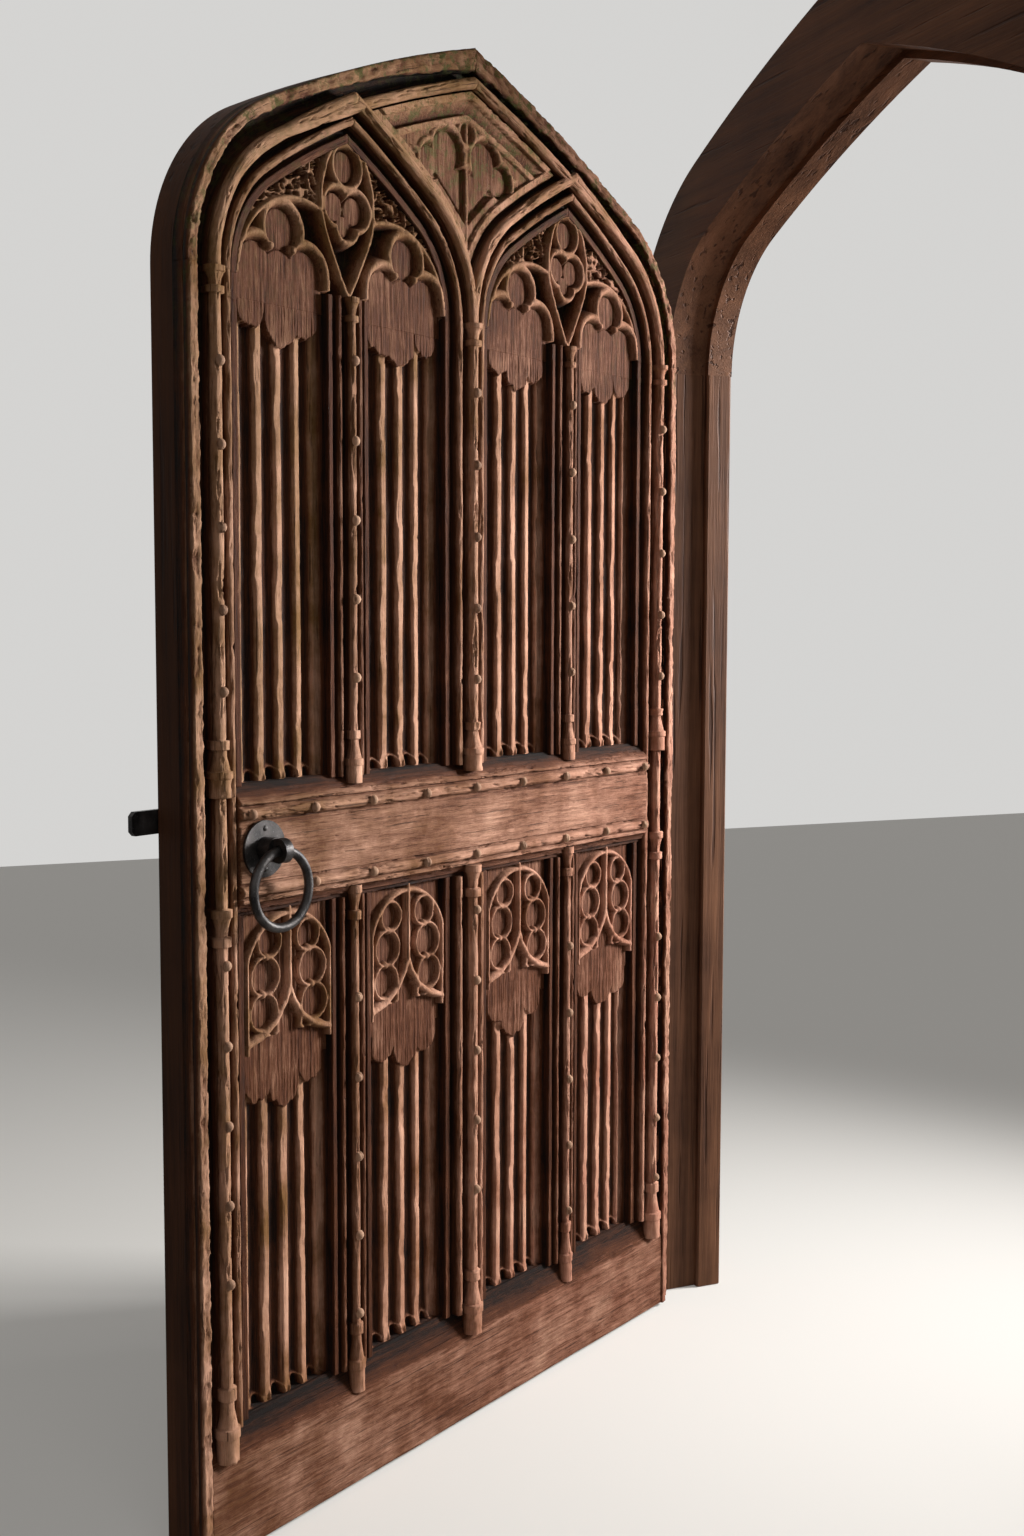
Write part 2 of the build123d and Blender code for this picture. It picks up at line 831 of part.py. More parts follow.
# Lower tracery heads: an arch, a stem that branches, and columns of cusped lobes
lights = [(shafts[i] + half_widths[i], shafts[i + 1] - half_widths[i + 1]) for i in range(4)]
for number, (clear_left, clear_right) in enumerate(lights, start=1):
    centre = (clear_left + clear_right) / 2
    half = (clear_right - clear_left) / 2
    foil_list = [(0, lock_rail_bottom - drop, radius) for drop, radius in middle_foils]
    for flank in (-1, 1):
        foil_list += [
            (flank * (half - inset), lock_rail_bottom - drop, radius) for inset, drop, radius in (*lobes, hood_foil)
        ]
    with BuildPart() as head:
        with BuildSketch(face_at(board_depth)):
            foils(foil_list, centre, lower_foil_rim)
            foils(foil_list, centre, 0, Mode.SUBTRACT)
            span_face(clear_left, clear_right, lock_rail_bottom - head_height, lock_rail_bottom, Mode.INTERSECT)
        extrude(amount=board_depth - foil_front)
        with BuildSketch(face_at(board_depth)):
            fork = lock_rail_bottom - stem_fork
            with BuildLine():
                Line((centre, lock_rail_bottom), (centre, fork))
                ThreePointArc(
                    (clear_left, lock_rail_bottom - head_arch_foot),
                    (centre, lock_rail_bottom - head_arch_rise),
                    (clear_right, lock_rail_bottom - head_arch_foot),
                )
                for flank in (-1, 1):
                    ThreePointArc(
                        (centre, fork),
                        (centre + flank * branch_middle[0], lock_rail_bottom - branch_middle[1]),
                        (centre + flank * half, lock_rail_bottom - branch_foot),
                    )
            trace(line_width=bar_width)
            for flank in (-1, 1):
                edge = centre + flank * half
                span_face(edge, edge - flank * side_bar, lock_rail_bottom - head_height, lock_rail_bottom)
            span_face(clear_left, clear_right, lock_rail_bottom - head_height, lock_rail_bottom, Mode.INTERSECT)
        extrude(amount=board_depth - tracery_front)
    finish(head, f"lower_tracery_{number}")

# Linenfold boards: rolls between hollows, under a scalloped field, with caves at the foot
board_split = (lock_rail_bottom + lock_rail_top) / 2
for zone, foot, fold_top, low, high in (
    ("upper", lock_rail_top, fold_top_upper, board_split, leaf_apex),
    ("lower", bottom_rail_top, fold_top_lower, floor_gap, board_split),
):
    for number, (clear_left, clear_right) in enumerate(lights, start=1):
        middle = (clear_left + clear_right) / 2
        ribs_half = (rib_count - 1) / 2 * rib_pitch
        ribs = [middle - ribs_half + i * rib_pitch for i in range(rib_count)]
        with BuildPart() as board:
            with BuildSketch(face_at(back_depth)):
                arched_face(leaf_arch, stile_block, low)
                span_face(shafts[number - 1], shafts[number], low, high, Mode.INTERSECT)
            extrude(amount=back_depth - board_depth)
            with BuildSketch(face_at(board_depth)):
                span_face(clear_left, clear_right, foot, fold_top)
                with Locations(*[(middle + i * light_half * scallop_spread, fold_top) for i in (-1, 0, 1)]):
                    Circle(scallop_radius, mode=Mode.SUBTRACT)
                with BuildLine():
                    Polyline(
                        (middle - rib_pitch, foot),
                        (middle - rib_pitch / 2, foot + ogee_shoulder),
                        (middle, foot + ogee_height),
                        (middle + rib_pitch / 2, foot + ogee_shoulder),
                        (middle + rib_pitch, foot),
                        close=True,
                    )
                make_face(mode=Mode.SUBTRACT)
                for cave in (-1, 1):
                    span_face(
                        middle + cave * ribs_half, middle + cave * light_half, foot, foot + cave_height, Mode.SUBTRACT
                    )
            extrude(amount=board_depth - valley_depth, mode=Mode.SUBTRACT)
            with BuildSketch(level_at(foot)):
                for place in ribs:
                    with Locations((place, board_depth + rib_radius)):
                        Circle(rib_radius)
                span_face(clear_left, clear_right, valley_depth, back_depth + rib_radius, Mode.SUBTRACT)
            extrude(amount=fold_top - foot)
            spindle_hole()
        finish(board, f"board_{zone}_{number}")

# Back frame: stiles and head timbers seen at the edge, and three ledges across the inner face
back_stile_width = 2 * stile_block
for side, sign in sides.items():
    edge = sign * leaf_width / 2
    with BuildPart() as back_stile:
        with BuildSketch(level_at(floor_gap)):
            span_face(edge, edge - sign * stile_block, board_depth, leaf_thickness)
            span_face(edge, edge - sign * back_stile_width, back_depth, leaf_thickness)
        extrude(amount=spring_height - floor_gap)
        spindle_hole()
    finish(back_stile, f"back_stile_{side}")
    with BuildPart() as back_head:
        for front, inset in ((board_depth, stile_block), (back_depth, back_stile_width)):
            with BuildSketch(face_at(leaf_thickness)):
                arched_face(leaf_arch)
                arched_face(leaf_arch, inset, mode=Mode.SUBTRACT)
                keep_half(sign)
            extrude(amount=leaf_thickness - front)
    finish(back_head, f"back_head_{side}")

ledge_half = leaf_width / 2 - back_stile_width
for name, (low, high) in ledge_heights.items():
    with BuildPart() as ledge:
        with BuildSketch(face_at(leaf_thickness)):
            span_face(-ledge_half, ledge_half, low, high)
        extrude(amount=leaf_thickness - back_depth)
        spindle_hole()
    finish(ledge, f"ledge_{name}")

# Strap hinges: a flat strap on the ledges, rolled into an eye round the pintle
strap_tip = leaf_width / 2 - strap_length
for name, height in strap_heights.items():
    foot = height - strap_width / 2
    with BuildPart() as strap:
        with BuildSketch(Plane.XY.offset(foot)):
            with Locations((pin_line.X, pin_line.Y)):
                Circle(pin_behind_leaf)
        extrude(amount=strap_width)
        with BuildSketch(level_at(foot)):
            span_face(
                strap_tip, leaf_width / 2 + pin_beyond_edge, leaf_thickness, leaf_thickness + strap_thickness
            )
        extrude(amount=strap_width)
        tip_edges = strap.faces().sort_by(Axis(leaf_origin, leaf_right))[0].edges().filter_by(
            lambda edge: abs(edge.tangent_at(0.5).Z) < 0.5
        )
        chamfer(tip_edges, strap_thickness * 0.8)
        with BuildSketch(Plane.XY.offset(foot)):
            with Locations((pin_line.X, pin_line.Y)):
                Circle(pin_radius + pin_clearance)
        extrude(amount=strap_width, mode=Mode.SUBTRACT)
    finish(strap, f"strap_{name}")


def nail_head(radius, height):
    # A low dome drawn as half its outline and turned about its own line
    with BuildLine() as outline:
        ThreePointArc((0, height), (radius * 0.6, height * 0.75), (radius, 0))
        Polyline((radius, 0), (0, 0), (0, height))
    make_face(outline.edges())


def domed_heads(places, depth, radius, height):
    # Domed heads on the carved side of the leaf
    for across, level in places:
        base = leaf_origin + leaf_right * across + up * level - leaf_out * depth
        with BuildSketch(Plane(origin=base, x_dir=leaf_right, z_dir=leaf_right.cross(leaf_out))) as dome:
            nail_head(radius, height)
        revolve(dome.sketch, axis=Axis(base, leaf_out))


def rose_nails(places, depth, radius, height):
    # Forged heads with six hammered faces, on the inner side of the leaf
    for across, level in places:
        base = leaf_origin + leaf_right * across + up * level - leaf_out * depth
        sections = []
        for rise, size in ((0, radius), (height, radius * nail_crown)):
            with BuildSketch(Plane(origin=base - leaf_out * rise, x_dir=leaf_right, z_dir=leaf_out * -1)) as ring_face:
                RegularPolygon(size, 6)
            sections.append(ring_face.sketch.face())
        loft(sections)


with BuildPart() as strap_nails:
    nail_count = int((strap_length - 2 * nail_radius) // nail_pitch)
    places = [
        (leaf_width / 2 - nail_pitch / 2 - i * nail_pitch, height)
        for height in strap_heights.values()
        for i in range(nail_count)
    ]
    rose_nails(places, leaf_thickness + strap_thickness, nail_radius, nail_height)
finish(strap_nails, "strap_nails")

# Studs: round heads on shanks driven into the shafts and the lock rail's rolls
with BuildPart() as studs:
    stud_rows = [
        (run_places(index, "lower") + run_places(index, "upper"), stud_front(index)) for index in range(5)
    ]
    stud_rows.append(([(place, lock_roll_high) for place in rail_studs], 0))
    stud_rows.append(([(place, lock_roll_low) for place in rail_studs[1:]], 0))
    for places, front in stud_rows:
        domed_heads(places, front, stud_radius, stud_height)
        with BuildSketch(face_at(front)):
            with Locations(*places):
                Circle(stud_shank_radius)
        extrude(amount=-stud_shank_length)
finish(studs, "studs")

# Handle plate with its two nails
plate_face = lock_band_front - plate_thickness
plate_nail_places = [(spindle_across, handle_height + spread) for spread in (-plate_nail_spread, plate_nail_spread)]
with BuildPart() as handle_plate:
    with BuildSketch(face_at(lock_band_front)):
        with Locations((spindle_across, handle_height)):
            Circle(plate_radius)
            Circle(spindle_radius + spindle_clearance, mode=Mode.SUBTRACT)
    extrude(amount=plate_thickness)
finish(handle_plate, "handle_plate")

with BuildPart() as plate_nails:
    domed_heads(plate_nail_places, plate_face, plate_nail_radius, plate_nail_height)
finish(plate_nails, "plate_nails")

# Spindle: a shank through the leaf, a boss on the plate and the eye that holds the ring
eye_centre = leaf_origin + leaf_right * spindle_across + up * handle_height + leaf_out * eye_stand_off
latch_back = leaf_thickness + latch_stand_off + latch_thickness
spindle_end = latch_back + nail_height
with BuildPart() as spindle:
    with BuildSketch(face_at(plate_face - working_gap)):
        with Locations((spindle_across, handle_height)):
            Circle(boss_radius)
    extrude(amount=eye_stand_off - boss_radius / 2 + plate_face - working_gap)
    with BuildSketch(Plane(origin=eye_centre - leaf_right * (eye_width / 2), x_dir=leaf_out, z_dir=leaf_right)):
        Circle(boss_radius)
    extrude(amount=eye_width)
    with BuildSketch(face_at(spindle_end)):
        with Locations((spindle_across, handle_height)):
            Circle(spindle_radius)
    extrude(amount=spindle_end)
    with BuildSketch(Plane(origin=eye_centre - leaf_right * boss_radius, x_dir=leaf_out, z_dir=leaf_right)):
        Circle(ring_wire + eye_clearance)
    extrude(amount=2 * boss_radius, mode=Mode.SUBTRACT)
finish(spindle, "spindle")

# Ring: hangs through the eye, parallel to the leaf
ring_centre = eye_centre - up * ring_radius
with BuildPart() as ring:
    with BuildSketch(Plane(origin=ring_centre, x_dir=leaf_right, z_dir=up)):
        with Locations((ring_radius, 0)):
            Circle(ring_wire)
    revolve(axis=Axis(ring_centre, leaf_out))
finish(ring, "ring")

# Lifter: an arm on the spindle's inner end, its tip just under the latch bar
tip_height = latch_height - latch_width / 2 - working_gap - lifter_tip_radius
latch_front = leaf_thickness + latch_stand_off
with BuildPart() as lifter:
    with BuildSketch(face_at(latch_front + lifter_thickness)):
        with Locations((spindle_across, handle_height)):
            Circle(lifter_hub_radius)
        with Locations((spindle_across + lifter_reach, tip_height)):
            Circle(lifter_tip_radius)
        make_hull()
        with Locations((spindle_across, handle_height)):
            Circle(spindle_radius + spindle_clearance, mode=Mode.SUBTRACT)
    extrude(amount=lifter_thickness)
finish(lifter, "lifter")

# Latch bar: from its tail behind the pivot to its tip past the leaf's free edge
latch_pivot = latch_pivot_inset - leaf_width / 2
latch_tip = -leaf_width / 2 - latch_reach
with BuildPart() as latch_bar:
    with BuildSketch(face_at(latch_back)):
        span_face(latch_tip, latch_pivot, latch_height - latch_width / 2, latch_height + latch_width / 2)
        with Locations((latch_pivot, latch_height)):
            Circle(latch_width / 2 + 4)
            Circle(latch_pin_radius + pin_clearance, mode=Mode.SUBTRACT)
    extrude(amount=latch_thickness)
    tip_edges = latch_bar.faces().sort_by(Axis(leaf_origin, leaf_right))[0].edges().filter_by(
        lambda edge: abs(edge.tangent_at(0.5).Z) < 0.5
    )
    chamfer(tip_edges, latch_thickness * 0.7)
finish(latch_bar, "latch_bar")

with BuildPart() as latch_pivot_bolt:
    for depth, amount, radius in (
        (latch_front - working_gap, latch_stand_off - working_gap, latch_head_radius),
        (latch_back + working_gap, latch_thickness + 2 * working_gap, latch_pin_radius),
        (latch_back + working_gap + nail_height, nail_height, latch_head_radius),
    ):
        with BuildSketch(face_at(depth)):
            with Locations((latch_pivot, latch_height)):
                Circle(radius)
        extrude(amount=amount)
finish(latch_pivot_bolt, "latch_pivot")

# Guide staple near the free edge, with room for the bar to rise
guide_across = guide_inset - leaf_width / 2
guide_low = latch_height - latch_width / 2 - working_gap
guide_high = latch_height + latch_width / 2 + guide_travel
guide_bridge = latch_back + 3 * working_gap
with BuildPart() as latch_guide:
    with BuildSketch(section_at(guide_across - guide_width / 2)):
        span_face(leaf_thickness, guide_bridge + guide_wall / 2, guide_low - guide_wall, guide_high + guide_wall)
        span_face(leaf_thickness, guide_bridge, guide_low, guide_high, Mode.SUBTRACT)
    extrude(amount=guide_width)
finish(latch_guide, "latch_guide")

# Catch on the latch jamb: a plate with a sloped nose that holds the bar
bar_near = leaf_proud + latch_stand_off
catch_left = rebate_half + catch_inset
catch_low = latch_height - latch_width / 2 - working_gap - catch_wall
catch_out = bar_near + latch_thickness + 2 * working_gap
bar_top = latch_height + latch_width / 2
with BuildPart() as latch_catch:
    with BuildSketch(Plane.YZ.offset(catch_left)):
        with BuildLine():
            Polyline(
                (0, catch_low - catch_plate_beyond),
                (0, bar_top + catch_plate_beyond),
                (-catch_plate, bar_top + catch_plate_beyond),
                (-catch_plate, catch_low + catch_wall),
                (-catch_out, catch_low + catch_wall),
                (-catch_out, bar_top),
                (-catch_out - catch_wall / 2, bar_top),
                (-catch_out - catch_wall - catch_slope, latch_height),
                (-catch_out - catch_wall, catch_low),
                (-catch_plate - catch_wall, catch_low - catch_plate_beyond / 2),
                (-catch_plate, catch_low - catch_plate_beyond),
                close=True,
            )
        make_face()
    extrude(amount=catch_width)
finish(latch_catch, "latch_catch")

print("pieces written:", len(os.listdir("parts")))
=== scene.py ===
import bpy
import json
import math
import numpy as np
from mathutils import Matrix, Vector


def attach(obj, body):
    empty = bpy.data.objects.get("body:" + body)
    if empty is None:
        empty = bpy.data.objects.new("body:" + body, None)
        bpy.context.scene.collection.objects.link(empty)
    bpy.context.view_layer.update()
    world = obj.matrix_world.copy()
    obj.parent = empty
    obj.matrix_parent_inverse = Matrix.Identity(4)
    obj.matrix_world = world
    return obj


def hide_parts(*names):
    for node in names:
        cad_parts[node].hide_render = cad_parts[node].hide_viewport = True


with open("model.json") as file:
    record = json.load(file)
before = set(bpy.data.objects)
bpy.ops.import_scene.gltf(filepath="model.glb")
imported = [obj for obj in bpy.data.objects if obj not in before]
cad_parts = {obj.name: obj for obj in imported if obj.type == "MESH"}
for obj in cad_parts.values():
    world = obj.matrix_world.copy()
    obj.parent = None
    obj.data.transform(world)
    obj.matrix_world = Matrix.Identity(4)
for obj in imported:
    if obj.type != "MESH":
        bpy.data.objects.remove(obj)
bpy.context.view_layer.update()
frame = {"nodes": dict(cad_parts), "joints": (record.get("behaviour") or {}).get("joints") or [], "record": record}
joints = {joint["name"]: joint for joint in frame["joints"]}

# The leaf's plan in millimetres. Places on it are (across, height, depth): across from its middle line
# towards the hinges, height from the floor, depth from the carved face into the leaf.
leafPlan = {
    "halfWidth": 590.0,
    "pinBeyondEdge": 46.0,
    "pinBehindFace": 92.58,
    "spring": 1740.0,  # where the arches start
    "floorGap": 6.0,
    "block": 60.0,  # solid part of the stiles and the arched heads, from the leaf's edge
    "outerShaft": 541.0,
    "sideShaft": 270.5,
    "mouldFloor": 30.0,  # floor between the mouldings
    "wearTo": 33.0,  # nothing wears below this depth
    "boardFace": 34.0,
    "boardBack": 50.0,
    "boardSplit": 976.5,  # where upper and lower boards meet behind the lock rail
    "lockRail": (887.0, 1066.0),
    "bottomRailTop": 182.0,
    "baseFoot": 143.0,
    "fieldDepth": 32.3,  # sunk fields under the tracery
    "wearShadeDepths": (14.0, 46.0),  # the front is worn pale above the first, painted dark as shade below the second
    "lights": ((-483.0, -315.5), (-225.5, -58.0), (58.0, 225.5), (315.5, 483.0)),
    "lightHalf": 83.75,
}
spring, boardFace, mouldFloor = (leafPlan[key] for key in ("spring", "boardFace", "mouldFloor"))
sides = {"free": -1, "hinge": 1}
leafOut = np.array(joints["spindle_turn"]["axis"])
leafRight = np.array([-leafOut[1], leafOut[0], 0.0])
pin = np.array(joints["leaf_swing"]["pos_m"]) * [1, 1, 0]
leafOrigin = (
    pin
    - leafRight * (leafPlan["halfWidth"] + leafPlan["pinBeyondEdge"]) * 1e-3
    + leafOut * leafPlan["pinBehindFace"] * 1e-3
)
leafTurn = math.atan2(leafRight[1], leafRight[0])


def addObject(name, data):
    item = bpy.data.objects.new(name, data)
    bpy.context.collection.objects.link(item)
    return item


# Camera
cameraPlan = {
    "position": (2.2551, -1.5566, 1.287),
    "right": (0.4002, 0.9164, 0.0027),
    "up": (-0.0792, 0.0316, 0.9964),
    "focalPixels": 1730,
    "longSidePixels": 1536,
    "sensorMm": 36,
    "clip": (0.05, 60),
}


def makeCamera(plan):
    data = bpy.data.cameras.new("photoCamera")
    data.sensor_width = plan["sensorMm"]
    data.lens = plan["focalPixels"] * plan["sensorMm"] / plan["longSidePixels"]
    data.clip_start, data.clip_end = plan["clip"]
    camera = addObject("photoCamera", data)
    right, up = Vector(plan["right"]).normalized(), Vector(plan["up"]).normalized()
    camera.matrix_world = Matrix((right, up, right.cross(up))).transposed().to_4x4()
    camera.location = plan["position"]
    bpy.context.scene.camera = camera


makeCamera(cameraPlan)
print("camera placed")


# Shader maths: a socket wrapped so that an expression adds its Math nodes
class Val:
    def __init__(self, net, socket):
        self.net, self.socket = net, socket

    def math(self, operation, *others, swap=False):
        inputs = [self, *others]
        if swap:
            inputs.reverse()
        return self.net.add("ShaderNodeMath", {"operation": operation}, inputs)

    def __add__(self, other):
        return self.math("ADD", other)

    def __sub__(self, other):
        return self.math("SUBTRACT", other)

    def __rsub__(self, other):
        return self.math("SUBTRACT", other, swap=True)

    def __mul__(self, other):
        return self.math("MULTIPLY", other)

    __radd__, __rmul__ = __add__, __mul__

    def clamp(self):
        return self.math("MAXIMUM", 0.0).math("MINIMUM", 1.0)

    def ramp(self, low, high):  # 0 below low, 1 above high, straight between
        return ((self - low) * (1.0 / (high - low))).clamp()


class Net:
    def __init__(self, name):
        self.material = bpy.data.materials.new(name)
        self.material.use_nodes = True
        self.tree = self.material.node_tree
        self.tree.nodes.clear()
        self.shader = self.tree.nodes.new("ShaderNodeBsdfPrincipled")
        self.out = self.tree.nodes.new("ShaderNodeOutputMaterial")
        self.tree.links.new(self.shader.outputs[0], self.out.inputs[0])

    def add(self, kind, settings=None, inputs=(), output=0):
        node = self.tree.nodes.new(kind)
        for key, value in (settings or {}).items():
            setattr(node, key, value)
        pairs = inputs.items() if isinstance(inputs, dict) else enumerate(inputs)
        for key, value in pairs:
            self.put(node.inputs[key], value)
        return Val(self, node.outputs[output])

    def put(self, socket, value):
        if isinstance(value, Val):
            self.tree.links.new(value.socket, socket)
        else:
            socket.default_value = value

    def blend(self, factor, first, second):  # colours: first where factor is 0
        values = {"Factor": factor, 6: first, 7: second}
        return self.add("ShaderNodeMix", {"data_type": "RGBA"}, values, output=2)

    def noise(self, vector, scale, detail=3.0, roughness=0.55, distortion=0.0):
        values = {"Vector": vector, "Scale": scale, "Detail": detail}
        values |= {"Roughness": roughness, "Distortion": distortion}
        return self.add("ShaderNodeTexNoise", {}, values)

    def place(self, turn=0.0, origin=(0, 0, 0)):
        # Object coordinates, turned about Z into the leaf's own directions
        coords = self.add("ShaderNodeTexCoord", {}, (), output=3)
        values = {"Vector": coords, "Location": origin, "Rotation": (0, 0, turn)}
        return self.add("ShaderNodeMapping", {"vector_type": "TEXTURE"}, values)

    def attribute(self, name, output):
        return self.add("ShaderNodeAttribute", {"attribute_name": name}, (), output=output)

    def stretch(self, vector, scale):
        return self.add("ShaderNodeVectorMath", {"operation": "MULTIPLY"}, [vector, scale])

    def parts(self, vector):
        node = self.tree.nodes.new("ShaderNodeSeparateXYZ")
        self.put(node.inputs[0], vector)
        return [Val(self, socket) for socket in node.outputs]

    # specular is low, so that dark wood doesn't mirror the pale room
    def finish(self, color, roughness, height=None, distance=0.001, metallic=0.0, specular=0.12):
        self.put(self.shader.inputs["Specular IOR Level"], specular)
        self.put(self.shader.inputs["Base Color"], color)
        self.put(self.shader.inputs["Roughness"], roughness)
        self.put(self.shader.inputs["Metallic"], metallic)
        if height is not None:
            values = {"Height": height, "Distance": distance, "Strength": 1.0}
            self.put(self.shader.inputs["Normal"], self.add("ShaderNodeBump", {}, values))
        return self.material


def rgb(red, green, blue):  # a colour as it looks on the screen, 0 to 255
    linear = [((c / 255 + 0.055) / 1.055) ** 2.4 if c > 10 else c / 255 / 12.92 for c in (red, green, blue)]
    return (*linear, 1.0)


# Oak on the plain CAD nodes: fibres and slow bands along the grain, blotches and open cracks
oakPlan = {
    "fibreScale": 260.0,
    "bandScale": 28.0,
    "blotchScale": 5.0,
    "crackScale": 90.0,
    "crackRange": (0.60, 0.68),
    "toneRange": (0.22, 0.78),
    "grainStretch": 0.035,
    "bumpDistance": 0.0012,
}


def oak(name, grain, dark, middle, onLeaf=True, shine=0.62):
    plan = oakPlan
    net = Net(name)
    place = net.place(leafTurn, tuple(leafOrigin)) if onLeaf else net.place()
    squeeze = {"up": (1, 1, plan["grainStretch"]), "across": (plan["grainStretch"], 1, 1)}[grain]
    along = net.stretch(place, squeeze)
    fibre = net.noise(along, plan["fibreScale"], 4.0, 0.65)
    band = net.noise(along, plan["bandScale"], 3.0, 0.6, 0.6)
    blotch = net.noise(place, plan["blotchScale"], 4.0, 0.6)
    crack = net.noise(along, plan["crackScale"], 2.0, 0.5).ramp(*plan["crackRange"])
    tone = (fibre * 0.45 + band * 0.75 + blotch * 0.5 - 0.35).ramp(*plan["toneRange"])
    color = net.blend(crack * 0.75, net.blend(tone, dark, middle), dark)
    roughness = shine + fibre * 0.2
    bump = fibre * 0.6 + band * 0.5 - crack * 0.9
    return net.finish(color, roughness, bump, plan["bumpDistance"])


# Weathered oak on the carved pieces: "grain" holds millimetres along and across the grain and the depth,
# the wear-and-shade attribute is 1 on the worn, pale fronts and 0 in the hollows, where it paints shade
carvedPlan = {
    # Painted shade: deep and hollow colour the shaded recesses; cracks take the hollow colour too
    "deep": rgb(13, 5, 2),
    "hollow": rgb(33, 14, 5),
    "middle": rgb(80, 43, 22),
    "crest": rgb(204, 158, 132),
    "red": rgb(162, 106, 86),
    "grey": rgb(120, 86, 48),
    "moss": rgb(64, 68, 24),
    "grainStretch": (0.05, 1.0, 1.0),
    "fibreScale": 0.9,
    "streakScale": 0.16,
    "blotchScale": 9.0,
    "gritScale": 330.0,
    "crackStretch": (0.022, 1.0, 0.6),
    "crackScale": 0.42,
    "crackRange": (0.65, 0.70),
    "lighten": (0.95, 0.75, 0.6, 0.55),  # by the wear and the painted shade, the fibres, the streaks and the blotches
    "mossScale": 55.0,
    "mossRange": (0.50, 0.60),
    "mossHeights": (1.70, 2.12),
    "bump": 0.0014,
}


def carved(name, moss=0.0):
    plan = carvedPlan
    net = Net(name)
    grain = net.attribute("grain", 1)
    wearAndShade = net.attribute("wearAndShade", 2)
    place = net.place(leafTurn, tuple(leafOrigin))
    across, _, height = net.parts(place)
    along = net.stretch(grain, plan["grainStretch"])
    fibre = net.noise(along, plan["fibreScale"], 4.0, 0.7, 0.3)
    streak = net.noise(along, plan["streakScale"], 3.0, 0.6, 0.5)
    blotch = net.noise(place, plan["blotchScale"], 5.0, 0.65)
    grit = net.noise(place, plan["gritScale"], 3.0, 0.6)
    cracks = net.noise(net.stretch(grain, plan["crackStretch"]), plan["crackScale"], 2.0, 0.5, 0.2)
    crack = cracks.ramp(*plan["crackRange"])
    byWearShade, byFibre, byStreak, byBlotch = plan["lighten"]
    level = wearAndShade * byWearShade + (fibre - 0.5) * byFibre + (streak - 0.5) * byStreak
    level = (level + (blotch - 0.5) * byBlotch).clamp()
    # Painted shade: the hollows turn dark brown, the deepest nearly black
    dark = net.blend(wearAndShade.ramp(0.06, 0.32), plan["deep"], plan["hollow"])
    color = net.blend(level.ramp(0.0, 0.42), dark, plan["middle"])
    # Worn wood is redder low down and near the hinges, greyer high up, with pale blotches; the blotches fade
    # upwards as painted shade, darker towards the top
    low = (across * 0.9 + 0.5 - (height - 1.0) * 0.35 + (blotch - 0.5) * 1.5).clamp()
    pale = blotch.ramp(0.35, 0.75) * (1.75 - height * 0.6).clamp()
    light = net.blend(pale, net.blend(low, plan["grey"], plan["red"]), plan["crest"])
    color = net.blend(level.ramp(0.38, 0.95), color, light)
    color = net.blend(crack * 0.6, color, plan["hollow"])
    if moss:
        patch = net.noise(place, plan["mossScale"], 5.0, 0.75).ramp(*plan["mossRange"])
        high = (height + across * across * 0.5).ramp(*plan["mossHeights"])
        color = net.blend(patch * high * moss, color, plan["moss"])
    bump = fibre * 0.9 + grit * 0.35 + streak * 0.8 - crack * 1.2
    return net.finish(color, 0.66 + fibre * 0.2, bump, plan["bump"])


ironPlan = {
    "dark": rgb(26, 24, 24),
    "plain": rgb(70, 66, 64),
    "bright": rgb(130, 128, 130),
    "gritScale": 420.0,
    "patchScale": 40.0,
    "bump": 0.0008,
    "metallic": 0.8,
    "specular": 0.5,
}


def iron(name):
    plan = ironPlan
    net = Net(name)
    place = net.place()
    grit = net.noise(place, plan["gritScale"], 4.0, 0.7)
    patch = net.noise(place, plan["patchScale"], 4.0, 0.6)
    color = net.blend(patch.ramp(0.35, 0.7), plan["dark"], plan["plain"])
    color = net.blend(grit.ramp(0.60, 0.75) * 0.6, color, plan["bright"])
    bump = (grit * 0.5 + patch, plan["bump"])
    return net.finish(color, 0.32 + patch * 0.25, *bump, plan["metallic"], plan["specular"])


backTones = (rgb(28, 14, 8), rgb(84, 52, 34))
frameTones = (rgb(48, 27, 17), rgb(126, 86, 62))
finishes = {
    "carved": carved("weatheredOak", moss=0.35),
    "mossy": carved("mossyOak", moss=0.9),
    "studs": oak("studOak", "up", rgb(96, 66, 48), rgb(190, 152, 124)),
    "board": oak("boardOak", "up", rgb(48, 28, 18), rgb(112, 74, 52)),
    "back": oak("backOak", "up", *backTones),
    "backAcross": oak("backOakAcross", "across", *backTones),
    "frameUp": oak("frameOak", "up", *frameTones, onLeaf=False, shine=0.5),
    "frameAcross": oak("frameHeadOak", "across", *frameTones, onLeaf=False, shine=0.5),
    "iron": iron("forgedIron"),
}
slots = {entry["node"]: entry["material_slot"] for entry in frame["record"]["subparts"]}


def finishFor(node):
    if node == "studs":
        return "studs"
    if slots[node] == "wrought_iron":
        return "iron"
    if slots[node] == "frame_oak":
        return "frameAcross" if "head" in node else "frameUp"
    if slots[node] == "back_oak":
        return "backAcross" if node.startswith("ledge") else "back"
    return "board"


for node, item in frame["nodes"].items():
    item.data.materials.clear()
    item.data.materials.append(finishes[finishFor(node)])
print("finishes on", len(frame["nodes"]), "nodes")


def mix(first, second, share):  # first where share is 0
    return first * (1 - share) + second * share


def smooth(low, high, value):  # 0 below low, 1 above high, an S between
    t = np.clip((value - low) / (high - low), 0, 1)
    return t * t * (3 - 2 * t)


# Noise for the worn surfaces: values on a hashed lattice, blended smoothly, in octaves
def lattice(x, y, seed):
    mixed = (x.astype(np.int64) * 374761393 + y.astype(np.int64) * 668265263 + seed * 974634777) & 0xFFFFFFFF
    mixed = ((mixed ^ (mixed >> 13)) * 1274126177) & 0xFFFFFFFF
    return ((mixed ^ (mixed >> 16)) & 0xFFFF) / 65535.0


